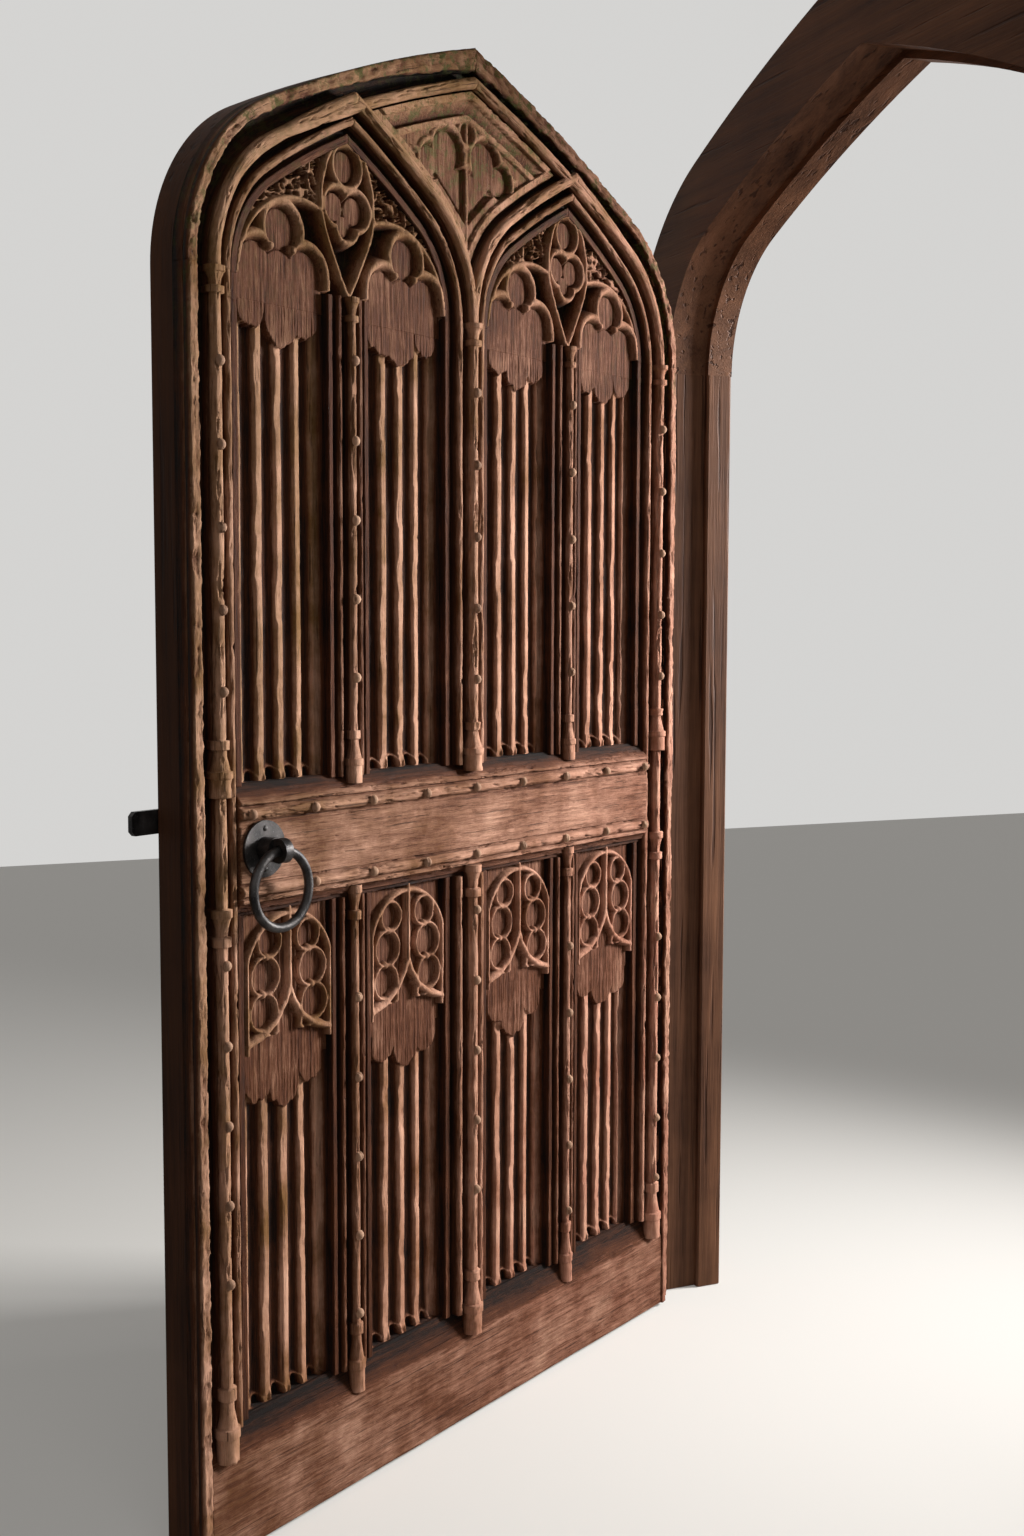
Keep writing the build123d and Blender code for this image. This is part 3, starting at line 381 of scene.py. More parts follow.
def softNoise(x, y, seed):
    # Value = the four lattice corners round the place, blended by an S in each direction
    x, y = np.broadcast_arrays(np.asarray(x, float), np.asarray(y, float))
    left, low = np.floor(x), np.floor(y)
    u, v = x - left, y - low
    u, v = u * u * (3 - 2 * u), v * v * (3 - 2 * v)
    first = mix(lattice(left, low, seed), lattice(left + 1, low, seed), u)
    second = mix(lattice(left, low + 1, seed), lattice(left + 1, low + 1, seed), u)
    return mix(first, second, v)


def octaves(x, y, seed, count=4, gain=0.5):
    # Value = weighted mean of noises, each 2.03 times finer and gain times weaker than the one before
    total, weight, size = 0.0, 0.0, 1.0
    for step in range(count):
        total = total + softNoise(x * 2.03**step, y * 2.03**step, seed + step * 17) * size
        weight, size = weight + size, size * gain
    return total / weight


def noiseAt(along, across, size, seed, count=4, gain=0.5):  # size is millimetres along and across
    return octaves(along / size[0], across / size[1], seed, count, gain)


# Wear of a front: fine grooves along the grain, lumps, and chips that bite into what stands proud
wearPlan = {
    "groove": 0.8,
    "grooveSize": (60.0, 1.9),
    "lump": 0.8,
    "lumpSize": (34.0, 9.0),
    "lumpFrom": 0.35,
    "chip": 3.6,
    "chipSize": (26.0, 5.0),
    "chipLevel": 0.60,
    "chipEdge": 0.05,
}


def wear(along, across, proud, seed, amount=1.0):
    # Loss = grooves + lumps + chips, the last two growing with how proud the front stands
    plan = wearPlan
    groove = noiseAt(along, across, plan["grooveSize"], seed, 3)
    lump = noiseAt(along, across, plan["lumpSize"], seed + 101)
    chip = noiseAt(along, across, plan["chipSize"], seed + 211, 4, 0.6)
    bite = smooth(plan["chipLevel"], plan["chipLevel"] + plan["chipEdge"], chip)
    loss = plan["groove"] * groove
    loss = loss + plan["lump"] * np.maximum(lump - plan["lumpFrom"], 0) * 2 * (0.3 + proud)
    return amount * (loss + plan["chip"] * bite * proud)


def proudOf(depth, hollow=24, span=20):  # 1 on the fronts, falling to 0 at the depth called hollow
    return np.clip((hollow - depth) / span, 0, 1)


def wearAndShadeLevel(depth, levels=leafPlan["wearShadeDepths"]):  # how pale the surface is at a depth: worn pale at the front, painted darker as shade deeper in
    return 1 - smooth(*levels, depth) * 0.95


# Meshes from arrays of places on the leaf
def toRow(across, height, depth):
    # Point = origin + across to the leaf's right + height upwards - depth along the leaf's way out
    across, height, depth = np.broadcast_arrays(across, height, depth)
    point = leafOrigin + across[..., None] * 1e-3 * leafRight - depth[..., None] * 1e-3 * leafOut
    point[..., 2] += height * 1e-3
    return point


def gridFaces(rows, columns, closed):
    # Four corners each: a point, the next in its row, and the same two in the next row
    index = np.arange(rows * columns).reshape(rows, columns)
    following = np.roll(index, -1, axis=1) if closed else index[:, 1:]
    here = index if closed else index[:, :-1]
    return np.stack([here[:-1], following[:-1], following[1:], here[1:]], -1).reshape(-1, 4)


def makePiece(name, corners, faces, replaced, finish, grain, wearAndShade, caps, soft):
    # caps are rings of point numbers, each closed with one face; the first soft faces are shaded smooth.
    # The volume's sign, a sum of corner products, tells whether all faces have to be turned round
    a, b, c, d = (corners[faces[:, i]] - corners.mean(0) for i in range(4))
    volume = np.sum(np.cross(a, b) * c) + np.sum(np.cross(a, c) * d)
    loops = faces.tolist() + [list(ring) for ring in caps]
    if volume < 0:
        loops = [loop[::-1] for loop in loops]
    mesh = bpy.data.meshes.new(name)
    mesh.from_pydata(corners.tolist(), [], loops)
    mesh.polygons.foreach_set("use_smooth", [number < soft for number in range(len(loops))])
    for label, kind, field, values in (
        ("grain", "FLOAT_VECTOR", "vector", grain),
        ("wearAndShade", "FLOAT", "value", wearAndShade),
    ):
        data = mesh.attributes.new(label, kind, "POINT").data
        data.foreach_set(field, values.reshape(-1).astype(np.float32))
    mesh.materials.append(finishes[finish])
    piece = addObject(name, mesh)
    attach(piece, "leaf")
    if replaced:
        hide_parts(*replaced)


# A closed section carried along the leaf: rows are places along the path, columns go round the section
def carry(name, across, height, depth, along, girth, replaced, finish="carved", levels=(0.0, 32.0)):
    shape = depth.shape
    rows, columns = shape
    points = toRow(across, height, depth).reshape(-1, 3)
    grain = np.stack([np.broadcast_to(along, shape), np.broadcast_to(girth, shape), depth], -1)
    caps = [range(columns - 1, -1, -1), range((rows - 1) * columns, rows * columns)]
    faces = gridFaces(rows, columns, True)
    # The deeper parts of the section are painted darker as shade
    makePiece(name, points, faces, replaced, finish, grain, wearAndShadeLevel(depth, levels), caps, len(faces))


sideShadeShare = 0.3  # share of the front's pale level that a sheet's sides show; the sides are painted darker as shade


# A height field over a grid, closed by sides and a flat back
def heightSheet(name, across, height, depth, replaced, wearAndShade, back=leafPlan["boardBack"], finish="carved"):
    rows, columns = depth.shape
    front = toRow(across, height, depth).reshape(-1, 3)
    behind = toRow(across, height, np.full_like(depth, back)).reshape(-1, 3)
    ring = np.concatenate(
        [
            np.arange(columns),
            np.arange(1, rows) * columns + columns - 1,
            (rows - 1) * columns + np.arange(columns - 2, -1, -1),
            np.arange(rows - 2, 0, -1) * columns,
        ]
    )
    rim = rows * columns + np.arange(len(ring))
    fronts = gridFaces(rows, columns, False)
    sheetSides = np.stack([np.roll(ring, -1), ring, rim, np.roll(rim, -1)], -1)
    faces = np.concatenate([fronts, sheetSides])
    corners = np.concatenate([front, behind[ring]])
    grain = np.stack([height, across, depth], -1).reshape(-1, 3)
    grain = np.concatenate([grain, grain[ring]])
    level = wearAndShade.reshape(-1)
    # The sides are painted darker as shade
    level = np.concatenate([level, level[ring] * sideShadeShare])
    makePiece(name, corners, faces, replaced, finish, grain, level, [rim[::-1].tolist()], len(fronts))


# Section outlines, as (across from the centre line, depth), with arcs cut into short steps
def arcPoints(centre, radius, start, end, step=1.3):
    # Point = centre + radius (cosine, sine), from the start to the end angle in degrees
    count = max(3, int(abs(math.radians(end - start)) * radius / step))
    angles = np.radians(np.linspace(start, end, count))
    return [(centre[0] + radius * math.cos(a), centre[1] + radius * math.sin(a)) for a in angles]


def dense(points, step=1.7):
    # Adds points so that no straight stretch in front of the boards is longer than the step
    result = []
    for first, second in zip(points, points[1:] + points[:1]):
        count = max(1, int(math.ceil(math.dist(first, second) / step)))
        if min(first[1], second[1]) > boardFace - 0.5:
            count = 1
        for i in range(count):
            t = i / count
            result.append((first[0] + (second[0] - first[0]) * t, first[1] + (second[1] - first[1]) * t))
    return np.array(result)


def bead(centre, front, radius, neckHalf, floor):
    # A round moulding on a neck, from its left foot to its right foot
    turn = math.degrees(math.asin(neckHalf / radius))
    turned = arcPoints((centre, front + radius), radius, 90 + turn, 450 - turn)
    return [(centre - neckHalf, floor), *turned, (centre + neckHalf, floor)]


sectionPlan = {
    "nose": (9.0, 6.0),  # radius, half neck
    "roll": (27.0, 6.0, 4.8, 9.0),  # distance from the nose, radius, half neck, front
    "fillet": (47.0, 6.0, 21.0),  # distance from the nose, half width, front
    "chamfer": 1.2,
    "rimWidth": 17.0,
    "rimLap": 0.6,  # how far the rim reaches over its seat
    "edge": 49.0,  # from the outer nose to the leaf's edge
    "seat": 14.4,
    "plainHalf": 12.0,
    "minorScale": 0.8,
}


def flankOutline(side, front, scale):
    # The roll, the fillet and the floors beside a nose, from the nose outwards
    offset, radius, neck, rollFront = sectionPlan["roll"]
    place, half, filletFront = sectionPlan["fillet"]
    cut = sectionPlan["chamfer"]
    step = sectionPlan["minorScale"] if scale < 1 else 1
    outline = bead(offset * scale, front + rollFront * step, radius * scale, neck * scale, mouldFloor)
    inner, outer = (place - half) * scale, (place + half) * scale
    outline += [(inner, mouldFloor), (inner, filletFront + cut), (inner + cut, filletFront)]
    outline += [(outer - cut, filletFront), (outer, filletFront + cut), (outer, boardFace)]
    return [(side * x, y) for x, y in outline]


def seatOutline(side):
    # From the nose outwards to the leaf's edge: the hollow's floor and the rim's seat
    edge, seat = sectionPlan["edge"], sectionPlan["seat"]
    inner = edge - sectionPlan["rimWidth"] + sectionPlan["rimLap"]
    outline = [(inner, mouldFloor), (inner, seat), (edge, seat), (edge, boardFace)]
    return [(side * x, y) for x, y in outline]


def plainOutline(side):
    edge = side * sectionPlan["plainHalf"]
    return [(edge, mouldFloor), (edge, boardFace)]


def shaftSection(left, right, front=0.0, scale=1.0):
    # The nose between what stands on its left and on its right
    radius, neck = sectionPlan["nose"]
    drawn = {
        "flank": lambda side: flankOutline(side, front, scale),
        "seat": seatOutline,
        "plain": plainOutline,
    }
    nose = bead(0, front, radius * scale, neck * scale, mouldFloor)
    return dense(drawn[left](-1)[::-1] + nose + drawn[right](1))


def sectionNormals(section):
    # Unit vector square to the run from the point before to the point after, turned outwards
    before, after = np.roll(section, 1, axis=0), np.roll(section, -1, axis=0)
    run = after - before
    normal = np.stack([run[:, 1], -run[:, 0]], -1) / (np.hypot(run[:, 0], run[:, 1]) + 1e-9)[:, None]
    area = np.sum(section[:, 0] * after[:, 1] - after[:, 0] * section[:, 1])
    return normal if area > 0 else -normal


def girthOf(section):  # distance round the section from its first point
    step = np.roll(section, -1, axis=0) - section
    return np.concatenate([[0], np.cumsum(np.hypot(step[:, 0], step[:, 1]))[:-1]])


# Rings of a capital or a base as factors on the nose, by their share of its height
turningPlan = {
    "capital": (
        (0, 1.5), (0.25, 1.5), (0.27, 1.0), (0.5, 1.05),
        (0.76, 1.45), (0.78, 1.667), (1.0, 1.667),
    ),
    "base": (
        (0, 1.8), (0.33, 1.8), (0.34, 2.0), (0.46, 2.0), (0.47, 1.65),
        (0.7, 1.15), (0.83, 1.05), (0.84, 1.48), (1.0, 1.48),
    ),
    "rowStep": 5.0,
    "stepGap": 0.3,  # rows this far below and above each change
    "turnedWear": 0.45,
    "swayLength": 90.0,
    "swayDepth": 29.0,
    "swayHalf": 40.0,
}


def turningFactor(heights, members):
    # Factor = 1, or inside a member a straight line between its rings
    factor = np.ones_like(heights)
    for kind, foot, tall in members:
        spots = np.array(turningPlan[kind])
        share = (heights - foot) / tall
        inside = (share >= 0) & (share <= 1)
        factor = np.where(inside, np.interp(share, spots[:, 0], spots[:, 1]), factor)
    return factor


def memberHeights(low, high, members, breaks):
    # Even rows, and two more about each ring and each break
    gap = turningPlan["stepGap"]
    heights = list(np.arange(low, high, turningPlan["rowStep"])) + [high]
    for kind, foot, tall in members:
        for ring in turningPlan[kind]:
            heights += [foot + tall * ring[0] - gap, foot + tall * ring[0] + gap]
    for level in breaks:
        heights += [level - gap, level + gap]
    return np.array(sorted(h for h in set(heights) if low <= h <= high))


def uprightShaft(name, centre, section, front, scale, low, high, members, hidden, replaced, seed):
    # Place = section, its nose grown about the nose's axis by the turning factor, less the loss along its
    # normal. hidden lists (foot, top, side, edge): there the section beyond that edge sinks behind a rail
    plan = turningPlan
    breaks = [level for entry in hidden for level in entry[:2]]
    heights = memberHeights(low, high, members, breaks)[:, None]
    normals, girth = sectionNormals(section), girthOf(section)
    aside, deep = section[:, 0], section[:, 1]
    wears = deep < leafPlan["wearTo"]
    reach = sectionPlan["nose"][0] * scale
    nose = (np.abs(aside) <= reach + 0.01) & wears
    factor = turningFactor(heights, members)
    growth = np.where(nose, factor - 1, 0)
    axis = front + reach
    inFront = deep < axis + reach * 0.7
    depth = deep + np.where(inFront, (deep - axis) * growth, 0)
    loss = wear(heights, girth, proudOf(deep) * wears, seed)
    loss = loss * np.where(factor > 1.02, plan["turnedWear"], 1.0) * wears
    sways = (deep < plan["swayDepth"]) & (np.abs(aside) < plan["swayHalf"])
    sway = (octaves(heights / plan["swayLength"], heights * 0, seed + 7, 3) - 0.5) * sways
    across = aside * (1 + growth) - normals[:, 0] * loss + sway
    depth = depth - normals[:, 1] * loss
    for foot, top, side, edge in hidden:
        sunk = (heights > foot) & (heights < top) & (aside * side > edge)
        depth = np.where(sunk, np.maximum(depth, boardFace), depth)
        across = np.where(sunk, np.clip(across * side, edge, None) * side, across)
    height = np.broadcast_to(heights, depth.shape)
    carry(name, across + centre, height, depth, height, girth, replaced)


# Capitals and bases as (kind, foot, height), shafts as (middle line, front, scale), and zones as (foot, top,
# foot of the flanks). hidePlan says beyond which distance from a nose the section sinks behind a rail, and
# its laps how far below the rail's top that ends
capitals = {"upper": ("capital", 1706.0, 34.0), "lower": ("capital", 853.0, 50.0)}
bases = {"upper": ("base", 1052.0, 76.0), "lower": ("base", 143.0, 104.0)}
shaftPlan = {"free": (-270.5, 9.0, 0.8), "middle": (0.0, 0.0, 1.0), "hinge": (270.5, 9.0, 0.8)}
zonePlan = {"upper": (1052.0, 1740.0, 1062.0), "lower": (143.0, 903.0, 178.0)}
hidePlan = {"flank": 20.0, "footBlock": -31.0, "lockRail": 34.0, "footLap": 3.0, "lockLap": 4.0}
for number, (name, (centre, front, scale)) in enumerate(shaftPlan.items()):
    section = shaftSection("flank", "flank", front, scale)
    for zone, (low, high, flankFoot) in zonePlan.items():
        edge = hidePlan["flank"] * scale
        hidden = [(low - 1, flankFoot, side, edge) for side in (-1, 1)]
        if zone == "lower":
            hidden += [(leafPlan["lockRail"][0], high + 1, side, edge) for side in (-1, 1)]
        seed = 31 + number * 5 + (zone == "upper")
        uprightShaft(
            f"{zone}Shaft{name.title()}", centre, section, front, scale, low, high,
            (capitals[zone], bases[zone]), hidden, [f"shaft_{zone}_{name}"], seed,
        )
for side, sign in sides.items():
    section = shaftSection("seat", "flank") if sign < 0 else shaftSection("flank", "seat")
    lockFoot, lockTop = leafPlan["lockRail"]
    hidden = [
        (0.0, leafPlan["baseFoot"], -sign, hidePlan["footBlock"]),
        (0.0, leafPlan["bottomRailTop"] - hidePlan["footLap"], -sign, hidePlan["flank"]),
        (lockFoot, lockTop - hidePlan["lockLap"], -sign, hidePlan["lockRail"]),
    ]
    uprightShaft(
        f"{side}Stile", sign * leafPlan["outerShaft"], section, 0.0, 1.0, leafPlan["floorGap"], spring,
        (*capitals.values(), *bases.values()), hidden, [f"stile_{side}"], 71 + sign,
    )
print("shafts and stiles")


# Arches: a haunch arc and a crown arc on its tangent, meeting its other half on a mitre.
# Each is (half width, haunch radius, haunch turn, crown radius, middle line)
archPlan = {
    "leaf": (590.0, 260.0, 63.4, 2800.0, 0.0),
    "rim": (573.0, 243.0, 63.4, 1994.0, 0.0),
    "free": (270.5, 205.0, 56.0, 1330.0, -270.5),
    "hinge": (270.5, 205.0, 56.0, 1330.0, 270.5),
}


def crownCentre(arch):
    # On the line from the haunch's end through its centre, the crown radius back from that end; across is
    # counted towards the other half
    half, haunch, turn, crown, _ = archPlan[arch]
    turn = math.radians(turn)
    return (crown - haunch) * math.cos(turn) - half + haunch, spring - (crown - haunch) * math.sin(turn)


def archRows(arch, step=4.0):
    # 0 to 1 in even steps along the haunch, 1 to 2 along the crown arc
    _, haunch, turn, crown, _ = archPlan[arch]
    turn = math.radians(turn)
    crownLength = crown * (math.acos(crownCentre(arch)[0] / crown) - turn)
    first = np.linspace(0, 1, max(8, int(haunch * turn / step)))
    second = np.linspace(0, 1, max(6, int(crownLength / step)))[1:]
    return np.concatenate([first, 1 + second])


def archPlace(arch, sign, rows, offset):
    # Place = centre of the haunch or the crown arc + (radius + offset) (cosine, sine)
    half, haunch, turn, crown, centre = archPlan[arch]
    turn = math.radians(turn)
    far, low = crownCentre(arch)
    rows, offset = np.broadcast_arrays(np.asarray(rows, float), np.asarray(offset, float))
    haunchAngle = np.clip(rows, 0, 1) * turn
    endAngle = np.arccos(np.clip(far / (crown + offset), -1, 1))
    crownAngle = turn + np.clip(rows - 1, 0, 1) * (endAngle - turn)
    onCrown = rows > 1
    across = np.where(
        onCrown,
        -far + (crown + offset) * np.cos(crownAngle),
        half - haunch + (haunch + offset) * np.cos(haunchAngle),
    )
    height = np.where(
        onCrown, low + (crown + offset) * np.sin(crownAngle), spring + (haunch + offset) * np.sin(haunchAngle)
    )
    run = np.where(onCrown, haunch * turn + crown * (crownAngle - turn), haunch * haunchAngle)
    return centre + sign * across, height, run


def archInset(arch, across, height):
    # Radius less the distance from the arc's centre: how far inside the arch's line, negative outside
    half, haunch, turn, crown, centre = archPlan[arch]
    far, low = crownCentre(arch)
    x, z = np.abs(across - centre) - (half - haunch), height - spring
    onCrown = np.arctan2(z, x) > math.radians(turn)
    crownInset = crown - np.hypot(x + half - haunch + far, height - low)
    return np.where(onCrown, crownInset, haunch - np.hypot(x, z))


def archTop(arch, across, offset, samples=400):
    # Height of an arch's line, moved out by the offset, over each place across
    place, height, _ = archPlace(arch, 1, np.linspace(0, 2, samples), np.full(samples, float(offset)))
    centre = archPlan[arch][4]
    order = np.argsort(place)
    return np.interp(np.abs(across - centre), place[order] - centre, height[order], right=spring)


def archedPiece(name, arch, sign, section, replaced, seed):
    # Offset from the arch's line = the section's across, less the loss, which falls to a quarter at the ends
    rows = archRows(arch)[:, None]
    normals, girth = sectionNormals(section), girthOf(section)
    deep = section[:, 1]
    _, _, run = archPlace(arch, sign, rows, np.zeros(1))
    loss = wear(run, girth, proudOf(deep), seed) * (deep < leafPlan["wearTo"])
    loss = loss * (0.25 + 0.75 * smooth(0, 0.03, rows) * smooth(0, 0.05, 2 - rows))
    across, height, run = archPlace(arch, sign, rows, section[:, 0] - normals[:, 0] * loss)
    carry(name, across, height, deep - normals[:, 1] * loss, run, girth, replaced)


# Big arches: each half carries the nose, with the roll and the fillet on its inner side
bigSection = shaftSection("flank", "plain")
for side, sign in sides.items():
    for half, word in ((-1, "Left"), (1, "Right")):
        archedPiece(f"{side}Arch{word}", side, half, bigSection, [f"big_arch_{side}"], 91 + sign + half * 3)
print("big arches")

# Leaf heads: the rim's seat, the hollow and the outer order's nose
seatWidth, seatDepth = sectionPlan["rimWidth"] - sectionPlan["rimLap"], sectionPlan["seat"]
headNose = bead(0, 0.0, *sectionPlan["nose"], mouldFloor)
headSection = dense(
    [
        (0, boardFace),
        (0, seatDepth),
        (-seatWidth, seatDepth),
        (-seatWidth, mouldFloor),
        *[(x - sectionPlan["edge"], y) for x, y in headNose][::-1],
        (-leafPlan["block"], mouldFloor),
        (-leafPlan["block"], boardFace),
    ]
)
for side, sign in sides.items():
    archedPiece(f"{side}Head", "leaf", sign, headSection, [f"leaf_head_{side}"], 131 + sign)
print("leaf heads")


# Rim: a rounded, broken strip between the leaf's edge (share 0) and its own inner line (share 1)
rimPlan = {
    "faceSteps": 11,
    "front": 0.5,
    "rounding": 3.0,
    "roundShare": 0.16,
    "outerDepth": 9.0,
    "innerDepths": (7.0, 11.0, 16.0, 22.0),
    "backShare": 0.94,
    "bed": 14.1,
    "skirt": 29.6,
    "proud": 0.55,
    "lump": 6.5,
    "lumpSize": (13.0, 9.0),
    "grit": 3.2,
    "gritSize": (4.5, 2.6),
    "ragged": 8.0,
    "raggedSize": (16.0, 9.0),
    # Depths from the worn pale front to the painted shade deeper in
    "wearShadeDepths": (0.0, 12.0),
}


def rimStrip(name, places, replaced, seed, rough):
    # Depth = the rounded face + wear + lumps + grit; the inner line is pushed in and out by its own noise
    plan = rimPlan
    shares = np.linspace(0, 1, plan["faceSteps"])
    corner = np.minimum(1, np.minimum(shares, 1 - shares) / plan["roundShare"])
    face = plan["front"] + (1 - np.sqrt(np.maximum(0, 1 - (1 - corner) ** 2))) * plan["rounding"]
    outline = [(0.0, plan["outerDepth"]), *zip(shares, face), *((1.0, deep) for deep in plan["innerDepths"])]
    back, skirt, bed = plan["backShare"], plan["skirt"], plan["bed"]
    outline += [(1.0, skirt), (back, skirt), (back, bed), (0.0, bed)]
    share, depth = np.array(outline).T
    _, _, run, width = places(share)
    girth = share * width
    front = depth < 6
    lumps = (noiseAt(run, girth, plan["lumpSize"], seed + 5) - 0.35) * plan["lump"] * rough
    grit = noiseAt(run, girth, plan["gritSize"], seed + 9, 2) * plan["grit"] * (0.5 + rough * 0.5)
    loss = wear(run, girth * 0.6, np.where(front, plan["proud"], 0.0), seed) * (depth < 13)
    newDepth = np.maximum(depth + loss + np.where(front, np.maximum(lumps, -0.3) + grit, 0), 0.0)
    inward = (share > 0.95) & (depth < 25)
    ragged = (noiseAt(run, depth, plan["raggedSize"], seed + 3, 3) - 0.4) * plan["ragged"]
    across, height, run, width = places(share - np.where(inward, ragged, 0) / width)
    carry(name, across, height, newDepth, run, girth, replaced, "mossy", plan["wearShadeDepths"])


def stileEdge(sign):
    # Across = half the leaf's width less the share of the rim's width, at even heights
    heights = np.append(np.arange(leafPlan["floorGap"], spring - 2, 4.0), spring)[:, None]

    def places(share):
        across = sign * (leafPlan["halfWidth"] - share * sectionPlan["rimWidth"]) + heights * 0
        return across, heights + across * 0, heights, sectionPlan["rimWidth"]

    return places


def headEdge(sign):
    # Place = on the straight line from the leaf's arch to the rim's inner arch, by the share
    rows = archRows("leaf", 3.5)[:, None]
    outerAcross, outerHeight, run = archPlace("leaf", sign, rows, np.zeros(1))
    innerAcross, innerHeight, _ = archPlace("rim", sign, rows, np.zeros(1))
    width = np.hypot(innerAcross - outerAcross, innerHeight - outerHeight)

    def places(share):
        across = outerAcross + (innerAcross - outerAcross) * share
        return across, outerHeight + (innerHeight - outerHeight) * share, run, width

    return places


for side, sign in sides.items():
    rimStrip(f"{side}Rim", stileEdge(sign), [f"rim_{side}"], 151 + sign, 0.6)
    rimStrip(f"{side}RimHead", headEdge(sign), [f"rim_head_{side}"], 161 + sign, 1.0)
print("rims")


# Rails: sections as (height, depth), carried across the leaf
railPlan = {
    "rolls": (921.0, 1026.0, 9.0),  # heights of both rolls, radius
    "rollArcs": ((-1.45, 1.5), (-1.45, 1.45)),
    "cavetto": (893.0, 3.0, 12.0),  # foot, front, size
    "lip": (6, 20, 15),  # height, depth below, depth above
    "neck": ((911.5, 3), (912, 9)),
    "band": ((932, 9), (932, 6.6), (932.6, 6), (1009.4, 6), (1010, 6.6), (1010, 9), (1016, 9)),
    "wash": ((1037, 9), (1038, 5), (1039, 4), (1042, 4)),
    "foot": ((182.0, 34), (182.0, 30), (143.0, 12), (137.0, 6), (7.0, 6), (6.0, 7), (6.0, 34)),
    "flatDepth": 6,  # the flat bands, which wear only by flatWear
    "flatWear": 0.25,
    "sagLength": 120.0,
    "sag": 0.8,
    "lockHalf": 507.0,
    # levels of wear and painted shade: worn pale at the front, painted darker as shade deeper in
    "lockWearShade": (-12.0, 30.0),
    "footHalf": 573.0,
    "footWearShade": (-16.0, 30.0),
}


def lockSection():
    # From the foot upwards: lip, cavetto, roll, band, roll, wash
    low, high = leafPlan["lockRail"]
    lower, upper, radius = railPlan["rolls"]
    start, depth, size = railPlan["cavetto"]
    lip, lipDepth, lipFront = railPlan["lip"]

    def roll(centre, arc):
        angles = np.linspace(*arc, 17)
        return [(centre + radius * math.sin(a), radius * (1 - math.cos(a))) for a in angles]

    points = [(low, boardFace), (low, lipDepth), (low + lip, lipDepth), (low + lip, lipFront)]
    points += [(start + size * math.sin(a), depth + size * math.cos(a)) for a in np.linspace(0.1, 1.57, 9)]
    points += [*railPlan["neck"], *roll(lower, railPlan["rollArcs"][0])]
    points += [*railPlan["band"], *roll(upper, railPlan["rollArcs"][1])]
    points += [*railPlan["wash"], (high, mouldFloor), (high, boardFace)]
    return dense(points, 2.0)


def carriedRail(name, section, half, replaced, seed, amount, levels):
    # Height and depth = the section, less the loss along its normal, and a slow sag
    plan = railPlan
    spots = np.append(np.arange(-half, half - 1, 4.0), half)[:, None]
    normals, girth = sectionNormals(section), girthOf(section)
    deep = section[:, 1]
    flat = np.where(np.abs(deep - plan["flatDepth"]) < 0.7, plan["flatWear"], 1.0)
    loss = wear(spots, girth, proudOf(deep, 26, 22) * flat, seed, amount) * (deep < leafPlan["wearTo"])
    sag = (octaves(spots / plan["sagLength"], spots * 0, seed + 3, 2) - 0.5) * plan["sag"]
    height = section[:, 0] - normals[:, 0] * loss + sag
    depth = deep - normals[:, 1] * loss
    carry(name, spots + depth * 0, height, depth, spots, girth, replaced, levels=levels)


carriedRail("lockRail", lockSection(), railPlan["lockHalf"], ["lock_rail"], 181, 1.0, railPlan["lockWearShade"])
carriedRail(
    "bottomRail", dense(list(railPlan["foot"]), 4.0), railPlan["footHalf"],
    ["bottom_rail"], 191, 0.55, railPlan["footWearShade"],
)
print("rails")


def roughField(across, height):
    # Open fibres on every sunk field, the same on both sides of a joint
    return (noiseAt(height, across, (42.0, 2.6), 401) - 0.45) * 3.0


# Linenfold: concave flutes between worn arrises, as depth over the light; the middle arris stands proudest
foldPlan = {
    "arrises": ((-74.0, 39.5), (-37.4, 35.4), (0.0, 34.0), (37.4, 35.4), (74.0, 39.5)),
    "edge": (84.0, 47.0),
    "flute": 9.4,
    "narrow": 30.0,  # flutes narrower than this are shallower
    "crestShare": 0.15,
    "crestRound": 1.8,
    "deepest": 48.4,
    "sway": 2.6,
    "swaySize": (170.0, 70.0),
    "waver": 1.3,
    "waverSize": (20.0, 14.0),
    "breakRange": (0.52, 0.72),
    "breakSize": (52.0, 9.0),
    "cut": (0.7, 2.6, 1.4),  # everywhere, more on broken stretches, and its roughness
    "cutSize": (6.0, 3.0),
    "columnStep": 0.85,
    "rowStep": 5.0,
    "footRows": (30.0, 1.5),  # reach above the foot, step
    "lobeRows": (48.0, 28.0, 1.7),  # reach below and above the lobes, step
    "restAfter": 40.0,
    "seam": 0.2,
    "scallops": ((-0.60, 27.0, -9.0), (0.0, 31.0, 7.0), (0.62, 26.0, -6.0)),  # share of half, radius, drop
    "shoulder": 24.0,
    "lobeFray": (9.0, 13.0),  # size, amount
    "caves": ((-56.0, 9.0), (-18.7, 12.0), (18.7, 12.0), (56.0, 9.0)),  # place, radius
    "caveSquash": 0.75,
    "lip": (2.2, 2.0, 3.5),  # distance outside the cave, width, height
    # painted shade: the plain board beside and below the folds is dark
    "plainShadeLevel": 0.1,
    "upper": (1066.0, 1694.0, 1712.0),  # foot of the folds, their top, top of the board
    "lower": (182.0, 640.0, 976.5),
}


